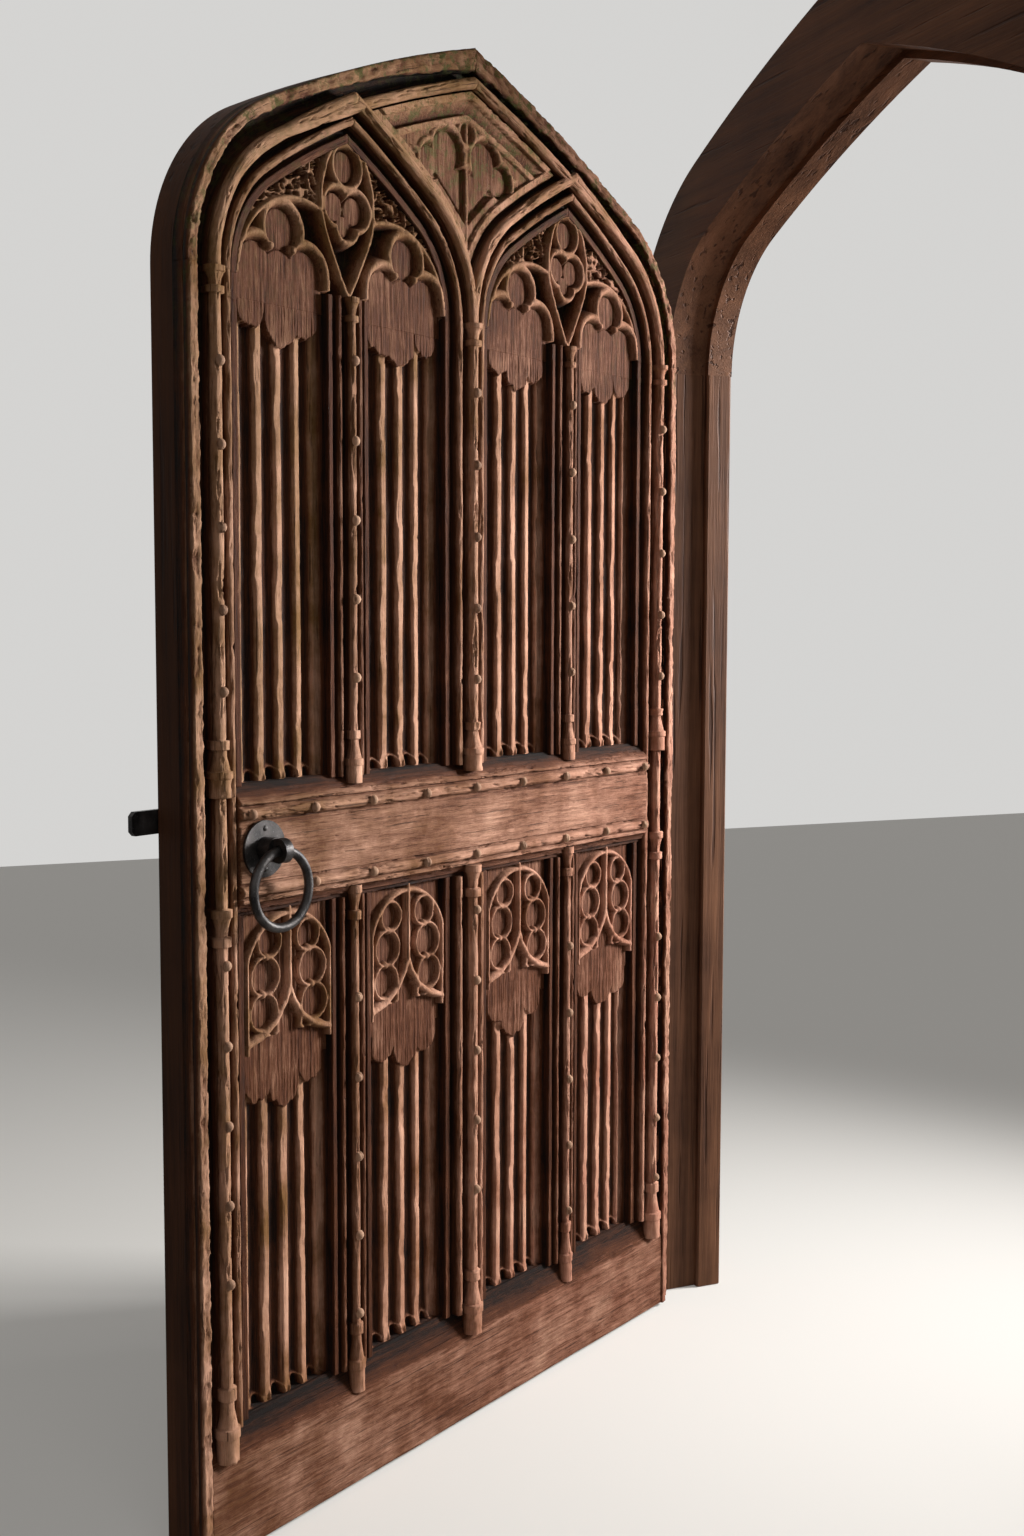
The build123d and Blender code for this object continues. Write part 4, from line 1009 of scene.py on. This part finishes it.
def foldDepth(x, height, seed):
    # Depth = line through the arrises + a flute between two of them; broken arrises are cut flat
    plan = foldPlan
    sway = (noiseAt(height, x, plan["swaySize"], seed, 3) - 0.5) * plan["sway"]
    waver = (noiseAt(height, x, plan["waverSize"], seed + 71, 3) - 0.5) * plan["waver"]
    x = x + sway + waver
    edge, edgeDepth = plan["edge"]
    spots = np.array([(-edge, edgeDepth), *plan["arrises"], (edge, edgeDepth)])
    line = np.interp(x, spots[:, 0], spots[:, 1])
    index = np.clip(np.searchsorted(spots[:, 0], x) - 1, 0, len(spots) - 2)
    left, right = spots[index, 0], spots[index + 1, 0]
    t = np.clip((x - left) / (right - left), 0, 1)
    aside = np.minimum(t, 1 - t)
    u = np.clip((aside - plan["crestShare"]) / (0.5 - plan["crestShare"]), 0, 1)
    crest = np.minimum(aside / plan["crestShare"], 1)
    dip = plan["flute"] * (u * (2 - u)) ** 0.75 + plan["crestRound"] * crest**2
    dip = dip * np.minimum(1, (right - left) / plan["narrow"])
    nearest = np.where(t > 0.5, right, left)
    broken = smooth(*plan["breakRange"], noiseAt(height, nearest, plan["breakSize"], seed + 31, 4, 0.6))
    least, more, rough = plan["cut"]
    frayed = (noiseAt(height, x, plan["cutSize"], seed + 37, 3) - 0.5) * rough * (0.4 + broken)
    dip = np.maximum(dip, least + broken * more + frayed)
    return line + dip, dip


def foldedBoard(zone, light, seed):
    # Depth = folds below the hanging lobes, the sunk field above them, and plain board outside the light
    plan = foldPlan
    foot, scallopAt, top = plan[zone]
    left, right = leafPlan["lights"][light]
    middle, half = (left + right) / 2, (right - left) / 2
    edge = leafPlan["halfWidth"] - leafPlan["block"]
    shafts = np.clip([(light - 2) * leafPlan["sideShaft"], (light - 1) * leafPlan["sideShaft"]], -edge, edge)
    low = leafPlan["boardSplit"] if zone == "upper" else leafPlan["floorGap"]
    seam = plan["seam"]
    across = np.linspace(left, right, int((right - left) / plan["columnStep"]))
    across = np.concatenate([[shafts[0], left - seam], across, [right + seam, shafts[1]]])[None, :]
    footReach, footStep = plan["footRows"]
    below, above, lobeStep = plan["lobeRows"]
    rest = scallopAt + plan["restAfter"]
    heights = np.concatenate(
        [
            [low, foot - seam],
            np.arange(foot, foot + footReach, footStep),
            np.arange(foot + footReach, scallopAt - below, plan["rowStep"]),
            np.arange(scallopAt - below, min(scallopAt + above, top), lobeStep),
            [rest, top] if top > rest + 1 else [top],
        ]
    )[:, None]
    across, height = np.broadcast_arrays(across, heights)
    x, rise = across - middle, height - foot
    depth, dip = foldDepth(x, height, seed)
    # Painted shade: the flutes darken with their depth below the arrises
    wearAndShade = 1 - smooth(2.0, 9.5, dip) * 0.86
    # Field above the folds: its lower edge is a row of hanging lobes
    edgeAt = np.full_like(depth, scallopAt + plan["shoulder"])
    vary = np.random.default_rng(seed)
    for share, radius, drop in plan["scallops"]:
        radius, drop = radius * vary.uniform(0.86, 1.08), drop + vary.uniform(-6, 6)
        inside = radius**2 - (x - share * half - vary.uniform(-5, 5)) ** 2
        lobe = scallopAt - drop - np.sqrt(np.maximum(inside, 0))
        edgeAt = np.where(inside > 0, np.minimum(edgeAt, lobe), edgeAt)
    fraySize, fray = plan["lobeFray"]
    edgeAt = edgeAt + (octaves(x / fraySize, x * 0 + light, seed + 3) - 0.5) * fray
    field = smooth(-0.8, 0.8, height - edgeAt)
    fieldDepth = leafPlan["fieldDepth"] + roughField(across, height)
    depth = mix(depth, fieldDepth, field)
    wearAndShade = mix(wearAndShade, wearAndShadeLevel(fieldDepth), field)
    # Feet of the flutes: small caves, painted dark as shade, each under a lip
    lipOut, lipWidth, lipHeight = plan["lip"]
    for spot, radius in plan["caves"]:
        distance = np.hypot(x - spot, rise * plan["caveSquash"])
        hollow = smooth(-0.8, 0.8, radius - distance)
        lip = np.exp(-(((distance - radius - lipOut) / lipWidth) ** 2)) * lipHeight * (rise > 1)
        depth = mix(depth, plan["deepest"], hollow) - lip * (1 - hollow)
        wearAndShade = np.clip(wearAndShade * (1 - hollow) + lip * 0.12, 0, 1)
    plain = (across < left) | (across > right) | (height < foot)
    depth = np.where(plain, boardFace, np.clip(depth, mouldFloor, plan["deepest"]))
    # The plain board beside and below the folds is painted dark as shade
    wearAndShade = np.where(plain, plan["plainShadeLevel"], wearAndShade)
    heightSheet(f"{zone}Folds{light + 1}", across, height, depth, [f"board_{zone}_{light + 1}"], wearAndShade)


for light in range(4):
    foldedBoard("upper", light, 211 + light * 7)
    foldedBoard("lower", light, 251 + light * 7)
print("linenfold")


# Distances in the plane of the tracery
def ringsUnion(x, z, circles):  # distance to the nearest circle's line, negative inside
    distance = np.full_like(x, 1e3)
    for across, height, radius in circles:
        distance = np.minimum(distance, np.hypot(x - across, z - height) - radius)
    return distance


def lineDistance(x, z, points):  # distance to the nearest of the straight lines between the points
    distance = np.full_like(x, 1e3)
    for (x0, z0), (x1, z1) in zip(points, points[1:]):
        dx, dz = x1 - x0, z1 - z0
        t = np.clip(((x - x0) * dx + (z - z0) * dz) / (dx * dx + dz * dz), 0, 1)
        distance = np.minimum(distance, np.hypot(x - x0 - t * dx, z - z0 - t * dz))
    return distance


def crossings(circles, pairs):
    # Where two neighbouring circles cross: the tips of the cusps
    tips = []
    for first, second in pairs:
        (x0, z0, r0), (x1, z1, r1) = circles[first], circles[second]
        gap = math.dist((x0, z0), (x1, z1))
        along = (gap * gap + r0 * r0 - r1 * r1) / (2 * gap)
        rise = math.sqrt(max(r0 * r0 - along * along, 0))
        ux, uz = (x1 - x0) / gap, (z1 - z0) / gap
        tips += [(x0 + along * ux + way * rise * uz, z0 + along * uz - way * rise * ux) for way in (-1, 1)]
    return tips


def circleThrough(points):
    # Centre = where the equal-distance lines of two pairs of the points cross
    (x0, z0), (x1, z1), (x2, z2) = points
    matrix = np.array([[x1 - x0, z1 - z0], [x2 - x0, z2 - z0]]) * 2
    right = np.array([x1**2 - x0**2 + z1**2 - z0**2, x2**2 - x0**2 + z2**2 - z0**2])
    centre = np.linalg.solve(matrix, right)
    return centre, math.dist(centre, points[0])


def arcLine(points, count=24):
    # A circle's arc from the first point through the second to the third, as short straight lines
    (across, height), radius = circleThrough(points)
    start, middle, end = [math.atan2(z - height, x - across) for x, z in points]
    if not min(start, end) <= middle <= max(start, end):
        end += 2 * math.pi if end < start else -2 * math.pi
    angles = np.linspace(start, end, count)
    return [(across + radius * math.cos(t), height + radius * math.sin(t)) for t in angles]


def bar(depth, distance, half, front):
    # A bar with a rounded front on steep sides: front + square of the share of its half width, then a slope
    u = distance / half
    return np.minimum(depth, front + 3.5 * np.minimum(u, 1) ** 2 + np.maximum(u - 1, 0) * half * 5)


def hood(depth, distance, front=20.5, width=10.0):
    # A rim round a sunk field: a rounded crest, just outside the line, that falls steeply on both sides
    u = np.abs((distance - width * 0.45) / (width * 0.55))
    return np.minimum(depth, front + 4.5 * np.minimum(u, 1) ** 2 + np.maximum(u - 1, 0) * 14)


def buds(depth, x, z, tips, front=21.0):
    # A small round knob on each cusp's tip: front + square of the distance beyond 2 mm
    for across, height in tips:
        away = np.maximum(np.hypot(x - across, z - height) - 2, 0)
        depth = np.minimum(depth, front + 0.35 * away**2)
    return depth


def sunkField(depth, distance, level, rough, gutter=0.0):
    # A rough field inside the line, with a gutter cut deeper along its edge
    inside = smooth(0.6, -0.6, distance)
    level = level + rough + gutter * smooth(-6.5, -4.0, distance)
    return mix(depth, np.minimum(level, 48.0), inside)


def foliage(x, z, seed):
    # Curling stems: ridges of a noise field whose place is itself pushed about by noise
    px = x + (octaves(x / 16.0, z / 16.0, seed, 2) - 0.5) * 14
    pz = z + (octaves(x / 16.0, z / 16.0, seed + 50, 2) - 0.5) * 14
    ridge = 1 - np.abs(2 * softNoise(px / 14.0, pz / 14.0, seed + 90) - 1) * 2.6
    curl = 1 - np.abs(2 * softNoise(px / 8.5 + 9, pz / 8.5, seed + 130) - 1) * 3.0
    return 47.0 - 22.0 * smooth(0.05, 0.75, np.maximum(ridge, curl * 0.85))


def gridBetween(across, low, top, step):
    # Height = low + a share of the way to the top, the same number of rows over each place across
    rows = int(np.max(top - low) / step)
    height = low + (top - low) * np.linspace(0, 1, rows)[:, None]
    return np.broadcast_to(across, height.shape), height


def wornTracery(depth, across, height, proud, seed):  # depth + wear on the bars and hoods
    return depth + wear(height, across, proudOf(depth, 32, 12) * proud, seed + 61, 0.7) * (depth < 40)


# Upper tracery, measured from each big arch's middle line and from the springing; circles are (across,
# height, radius)
traceryPlan = {
    "trefoil": ((0, 74, 33), (-46, 20, 37), (46, 20, 37), (0, 18, 34)),
    "dagger": ((0, 182, 27), (-20, 124, 25), (20, 124, 25), (0, 100, 20)),
    "pairs": ((0, 1), (0, 2)),
    "trefoilBuds": 25.0,  # from this height upwards
    "daggerBuds": (30.0, 130.0),  # nearer the middle than this, and from this height upwards
    "lightOffset": 128.75,
    "lightTop": 20.0,
    "ogee": ((0, 0), (16, 26), (32, 56), (46, 84), (55, 112), (54, 145), (44, 180), (26, 212), (5, 236)),
    "ogeeBar": (3.6, 19.0),  # half width, front
    "lightArch": ((214, 18), (158, 102), (55, 112)),
    "lightBar": (3.4, 20.0),
    "daggerHood": (20.5, 7.5),
    "gutter": 10.0,
    "proud": 0.35,
    "step": 1.75,
    "low": 1712.0,
    "pocket": 48.5,
    "band": 52.0,
    "plainBeyond": (45.0, 212.5),  # below the springing, nearer than the first and beyond the second
}


def upperTracery(side, seed):
    # Depth = pockets and foliage, then the sunk fields, and over them hoods, buds and bars
    plan = traceryPlan
    half, *_, centre = archPlan[side]
    low, gutter = plan["low"], plan["gutter"]
    edge = leafPlan["halfWidth"] - leafPlan["block"]
    across = np.unique(np.clip(np.arange(centre - half, centre + half + 0.1, plan["step"]), -edge, edge))
    top = np.maximum(archTop("leaf", across, -leafPlan["block"]), low + 1)
    across, height = gridBetween(across, low, top, plan["step"])
    x, z = across - centre, height - spring
    rough = roughField(across, height)
    ogee = np.array(plan["ogee"], float)
    barAt = np.interp(z, ogee[:, 1], ogee[:, 0], left=0, right=0)
    archCentre, archRadius = circleThrough(plan["lightArch"])
    underArch = np.hypot(np.abs(x) - archCentre[0], z - archCentre[1]) < archRadius
    inDagger = (np.abs(x) < barAt) & (z > 0) & (z < ogee[-1, 1])
    leaves = ~(underArch & (np.abs(x) > barAt)) & ~inDagger & (z > 0)
    depth = np.where(leaves, foliage(x, z, seed + 5), plan["pocket"])
    lightTop = plan["lightTop"]
    for flank in (-1, 1):
        offset = flank * plan["lightOffset"]
        circles = [(offset + a, b, r) for a, b, r in plan["trefoil"]]
        distance = ringsUnion(x, z, circles)
        below = np.maximum(np.abs(x - offset) - leafPlan["lightHalf"], z - lightTop)
        distance = np.where(z < lightTop, np.minimum(distance, below), distance)
        depth = sunkField(depth, distance, leafPlan["fieldDepth"], rough, gutter * smooth(6, 16, z))
        depth = np.where(z > 4, hood(depth, distance), depth)
        tips = [tip for tip in crossings(circles, plan["pairs"]) if tip[1] > plan["trefoilBuds"]]
        depth = buds(depth, x, z, tips)
    distance = ringsUnion(x, z, plan["dagger"])
    depth = sunkField(depth, distance, leafPlan["fieldDepth"] - 1, rough, gutter)
    depth = hood(depth, distance, *plan["daggerHood"])
    near, budFoot = plan["daggerBuds"]
    tips = crossings(plan["dagger"], plan["pairs"])
    depth = buds(depth, x, z, [tip for tip in tips if abs(tip[0]) < near and tip[1] > budFoot])
    depth = bar(depth, lineDistance(np.abs(x), z, arcLine(plan["lightArch"])), *plan["lightBar"])
    depth = bar(depth, lineDistance(np.abs(x), z, plan["ogee"]), *plan["ogeeBar"])
    depth = wornTracery(depth, across, height, plan["proud"], seed)
    # Behind the arch's own mouldings and the shafts the board stays plain
    inner, outer = plan["plainBeyond"]
    behindShaft = (np.abs(x) < inner) | (np.abs(x) > outer)
    covered = np.where(z > 0, smooth(-1, 1, height - archTop(side, across, -plan["band"])), behindShaft)
    depth = mix(depth, boardFace, covered)
    # Pockets and deep fields are painted dark as shade
    heightSheet(f"{side}Tracery", across, height, depth, [f"tracery_{side}"], wearAndShadeLevel(depth))


upperTracery("free", 301)
upperTracery("hinge", 331)
print("upper tracery")


# Crown: mouldings under the leaf's arch and over the big arches, a stem and three lobes; lobes are
# (across, drop below the leaf's apex, radius), and the mouldings (distance from their arch, depth)
crownPlan = {
    "half": 225.0,
    "apex": 2150.0,
    "clearOfArch": 9.0,
    "underLeaf": ((60, 12), (70, 12), (70.6, 19), (91, 29), (91.6, 17), (101, 17), (101.8, 24), (103, 60)),
    "overArch": ((9, 31), (18, 16), (28, 16), (28.8, 24), (30, 60)),
    "lobes": ((46, 160, 36), (-46, 160, 36), (0, 124, 16), (84, 180, 27), (-84, 180, 27)),
    "lobePairs": ((0, 2), (1, 2)),
    "budHalf": 60.0,
    "point": (100, 176, 262),  # half width of the field's lower point, its drops at the shoulder and the tip
    "face": 22.0,
    "field": 28.0,
    "gutter": 5.0,
    "hood": (18.0, 10.0),  # front, width
    "hoodAboveTip": 70.0,
    "stem": (4.5, 20.0),  # half width, front
    "budFront": 20.0,
    "frontLimit": 11.0,
    # Depths from the worn pale front to the painted shade deeper in
    "wearShadeDepths": (12.0, 36.0),
    "step": 1.9,
}


def crownTracery(seed):
    # Depth = the face, the sunk field in the lobes and the point, hoods, stem and buds, then the mouldings
    plan = crownPlan
    clear = plan["clearOfArch"]
    across = np.arange(-plan["half"], plan["half"] + 0.1, plan["step"])
    low = np.where(across < 0, archTop("free", across, clear), archTop("hinge", across, clear))
    top = archTop("leaf", across, -leafPlan["block"])
    across, height = gridBetween(across, low, top, plan["step"])
    rough = roughField(across, height)
    drop = plan["apex"] - height
    shoulder, shoulderDrop, pointDrop = plan["point"]
    slope = np.abs(across) / shoulder + (drop - shoulderDrop) / (pointDrop - shoulderDrop) - 1
    triangle = np.maximum(slope * 40, shoulderDrop - drop)
    distance = np.minimum(ringsUnion(across, drop, plan["lobes"]), triangle)
    face = np.full_like(height, plan["face"]) + rough * 0.5
    depth = sunkField(face, distance, plan["field"], rough, plan["gutter"])
    depth = np.where(drop < pointDrop - plan["hoodAboveTip"], hood(depth, distance, *plan["hood"]), depth)
    depth = bar(depth, np.abs(across), *plan["stem"])
    tips = [tip for tip in crossings(plan["lobes"], plan["lobePairs"]) if abs(tip[0]) < plan["budHalf"]]
    depth = buds(depth, across, drop, tips, plan["budFront"])
    leafInset = archInset("leaf", across, height)
    outside = -np.maximum(archInset("free", across, height), archInset("hinge", across, height))
    for value, profile in ((leafInset, plan["underLeaf"]), (outside, plan["overArch"])):
        spots = np.array(profile, float)
        moulding = np.interp(value, spots[:, 0], spots[:, 1])
        depth = np.where(value < spots[-2, 0], moulding, depth)
    depth = depth + wear(across, height, proudOf(depth, 30, 16) * 0.6, seed + 61, 0.9)
    depth = np.clip(depth, plan["frontLimit"], boardFace - 0.1)
    # Painted shade darkens the deeper places; the sunk fields keep at least half the pale level
    wearAndShade = np.maximum(wearAndShadeLevel(depth, plan["wearShadeDepths"]), 0.5 * (distance < 0))
    heightSheet("crownTracery", across, height, depth, ["crown_tracery"], wearAndShade, boardFace, "mossy")


crownTracery(391)
print("crown")


# Lower heads, measured from each light's middle line and down from the lock rail; circles are (across,
# drop, radius) and bars (half width, front)
lowerPlan = {
    "columns": ((38, 44, 20), (47, 92, 25), (50, 142, 24)),
    "columnPairs": ((0, 1), (1, 2)),
    "columnHood": (21.0, 5.0),
    "columnGutter": 7.0,
    "cusps": ((0, 166, 20), (-54, 200, 23), (54, 200, 23), (0, 200, 32)),
    "cuspHood": (22.0, 8.0),
    "cuspGutter": 9.0,
    "fieldHalf": 84.0,
    "fieldFrom": 178.0,
    "budFront": 22.0,
    "stem": ((0, 0), (0, 112)),
    "stemBar": (4.2, 19.0),
    "branch": ((0, 112), (8, 132), (26, 157), (52, 175), (84, 184)),
    "branchBar": (4.6, 19.0),
    "arch": ((-84, 76), (0, 8), (84, 76)),
    "archBar": (3.6, 20.0),
    "edgeBar": (5.5, 20.0),
    "spandrel": 32.0,
    "proud": 0.3,
    "step": 1.7,
    "foot": 197.0,
    "behindRail": 6.0,
    "field": 38.5,
    "pocket": 48.5,
}


def lowerHead(light, seed):
    # Depth = the pocket, two columns of sunk circles, the cusped field below, then the bars over them
    plan = lowerPlan
    step, fieldFrom = plan["step"], plan["fieldFrom"]
    left, right = leafPlan["lights"][light]
    rail = leafPlan["lockRail"][0]
    heights = np.arange(rail - plan["foot"], rail + plan["behindRail"], step)[:, None]
    across, height = np.broadcast_arrays(np.arange(left, right + 0.1, step), heights)
    x, drop = across - (left + right) / 2, rail - height
    rough = roughField(across, height)
    depth = np.full_like(x, plan["pocket"])
    for sign in (-1, 1):
        circles = [(sign * a, b, r) for a, b, r in plan["columns"]]
        for circle in circles:
            distance = ringsUnion(x, drop, [circle])
            depth = sunkField(depth, distance, plan["field"], rough, plan["columnGutter"])
        depth = hood(depth, ringsUnion(x, drop, circles), *plan["columnHood"])
        depth = buds(depth, x, drop, crossings(circles, plan["columnPairs"]), plan["budFront"])
    distance = ringsUnion(x, drop, plan["cusps"])
    distance = np.where(drop > fieldFrom, np.minimum(distance, np.abs(x) - plan["fieldHalf"]), distance)
    gutter = plan["cuspGutter"] * smooth(188, 178, drop)
    depth = sunkField(depth, distance, leafPlan["fieldDepth"], rough, gutter)
    hooded = (drop > 150) & (np.abs(x) < 78)
    depth = np.where(hooded, hood(depth, distance, *plan["cuspHood"]), depth)
    centre, radius = circleThrough(plan["arch"])
    outside = (np.hypot(x - centre[0], drop - centre[1]) > radius) & (drop < 60)
    depth = np.where(outside, np.minimum(depth, plan["spandrel"] + rough * 0.5), depth)
    depth = bar(depth, lineDistance(np.abs(x), drop, plan["branch"]), *plan["branchBar"])
    depth = bar(depth, lineDistance(x, drop, plan["stem"]), *plan["stemBar"])
    depth = bar(depth, lineDistance(x, drop, arcLine(plan["arch"])), *plan["archBar"])
    fromEdge = np.where(drop > 70, leafPlan["lightHalf"] - np.abs(x), 50)
    depth = bar(depth, fromEdge, *plan["edgeBar"])
    depth = wornTracery(depth, across, height, plan["proud"], seed)
    replaced = [f"lower_tracery_{light + 1}"]
    # Pockets and deep fields are painted dark as shade
    heightSheet(f"lowerHead{light + 1}", across, height, depth, replaced, wearAndShadeLevel(depth))


for light in range(4):
    lowerHead(light, 361 + light * 9)
print("lower heads")


# Floor, backdrop and lamps
stagePlan = {
    "floorColor": rgb(206, 203, 198),
    "backColor": rgb(232, 231, 229),
    "floorSize": 14.0,
    "floorDrop": 0.001,
    "keyPosition": (0.15, 2.8, 1.9),
    "target": (-0.25, -0.55, 1.1),
    "keySize": 0.9,
    "keyPower": 84.0,
    "keySpread": 90.0,
    "fillPosition": (3.4, -1.2, 2.6),
    "fillSize": 2.4,
    "fillPower": 9.0,
    "fillSpread": 120.0,
    "skyStrength": 0.12,
    "floorGlow": 0.30,
    "seenStrength": 0.82,
}


def areaLamp(name, position, target, size, power, spread):
    data = bpy.data.lights.new(name, "AREA")
    data.shape, data.size, data.energy, data.spread = "SQUARE", size, power, math.radians(spread)
    lamp = addObject(name, data)
    lamp.location = position
    lamp.rotation_mode = "QUATERNION"
    lamp.rotation_quaternion = (Vector(target) - Vector(position)).to_track_quat("-Z", "Y")


def makeStage(plan):
    reach, level = plan["floorSize"] / 2, -plan["floorDrop"]
    mesh = bpy.data.meshes.new("floor")
    corners = [(x * reach, y * reach, level) for x, y in ((-1, -1), (1, -1), (1, 1), (-1, 1))]
    mesh.from_pydata(corners, [], [(0, 1, 2, 3)])
    net = Net("floorFinish")
    seen = net.add("ShaderNodeLightPath")
    glow = net.blend(seen * plan["floorGlow"], (0, 0, 0, 1), plan["floorColor"])
    net.put(net.shader.inputs["Emission Color"], glow)
    net.put(net.shader.inputs["Emission Strength"], 1.0)
    mesh.materials.append(net.finish(plan["floorColor"], 0.9))
    floor = addObject("floor", mesh)
    # The world is seen bright by the camera and in gloss, and lights the object only weakly
    world = bpy.data.worlds.new("room")
    world.use_nodes = True
    tree = world.node_tree
    background = tree.nodes["Background"]
    background.inputs[0].default_value = plan["backColor"]
    rays, seen, strength = (tree.nodes.new(f"ShaderNode{kind}") for kind in ("LightPath", "Math", "MapRange"))
    seen.operation = "MAXIMUM"
    strength.inputs["To Min"].default_value = plan["skyStrength"]
    strength.inputs["To Max"].default_value = plan["seenStrength"]
    tree.links.new(rays.outputs["Is Camera Ray"], seen.inputs[0])
    tree.links.new(rays.outputs["Is Glossy Ray"], seen.inputs[1])
    tree.links.new(seen.outputs[0], strength.inputs["Value"])
    tree.links.new(strength.outputs[0], background.inputs[1])
    bpy.context.scene.world = world
    for lamp in ("key", "fill"):
        values = [plan[lamp + part] for part in ("Position", "Size", "Power", "Spread")]
        areaLamp(f"{lamp}Lamp", values[0], plan["target"], *values[1:])
    bpy.context.scene.view_settings.view_transform = "Standard"


makeStage(stagePlan)
print("stage ready")
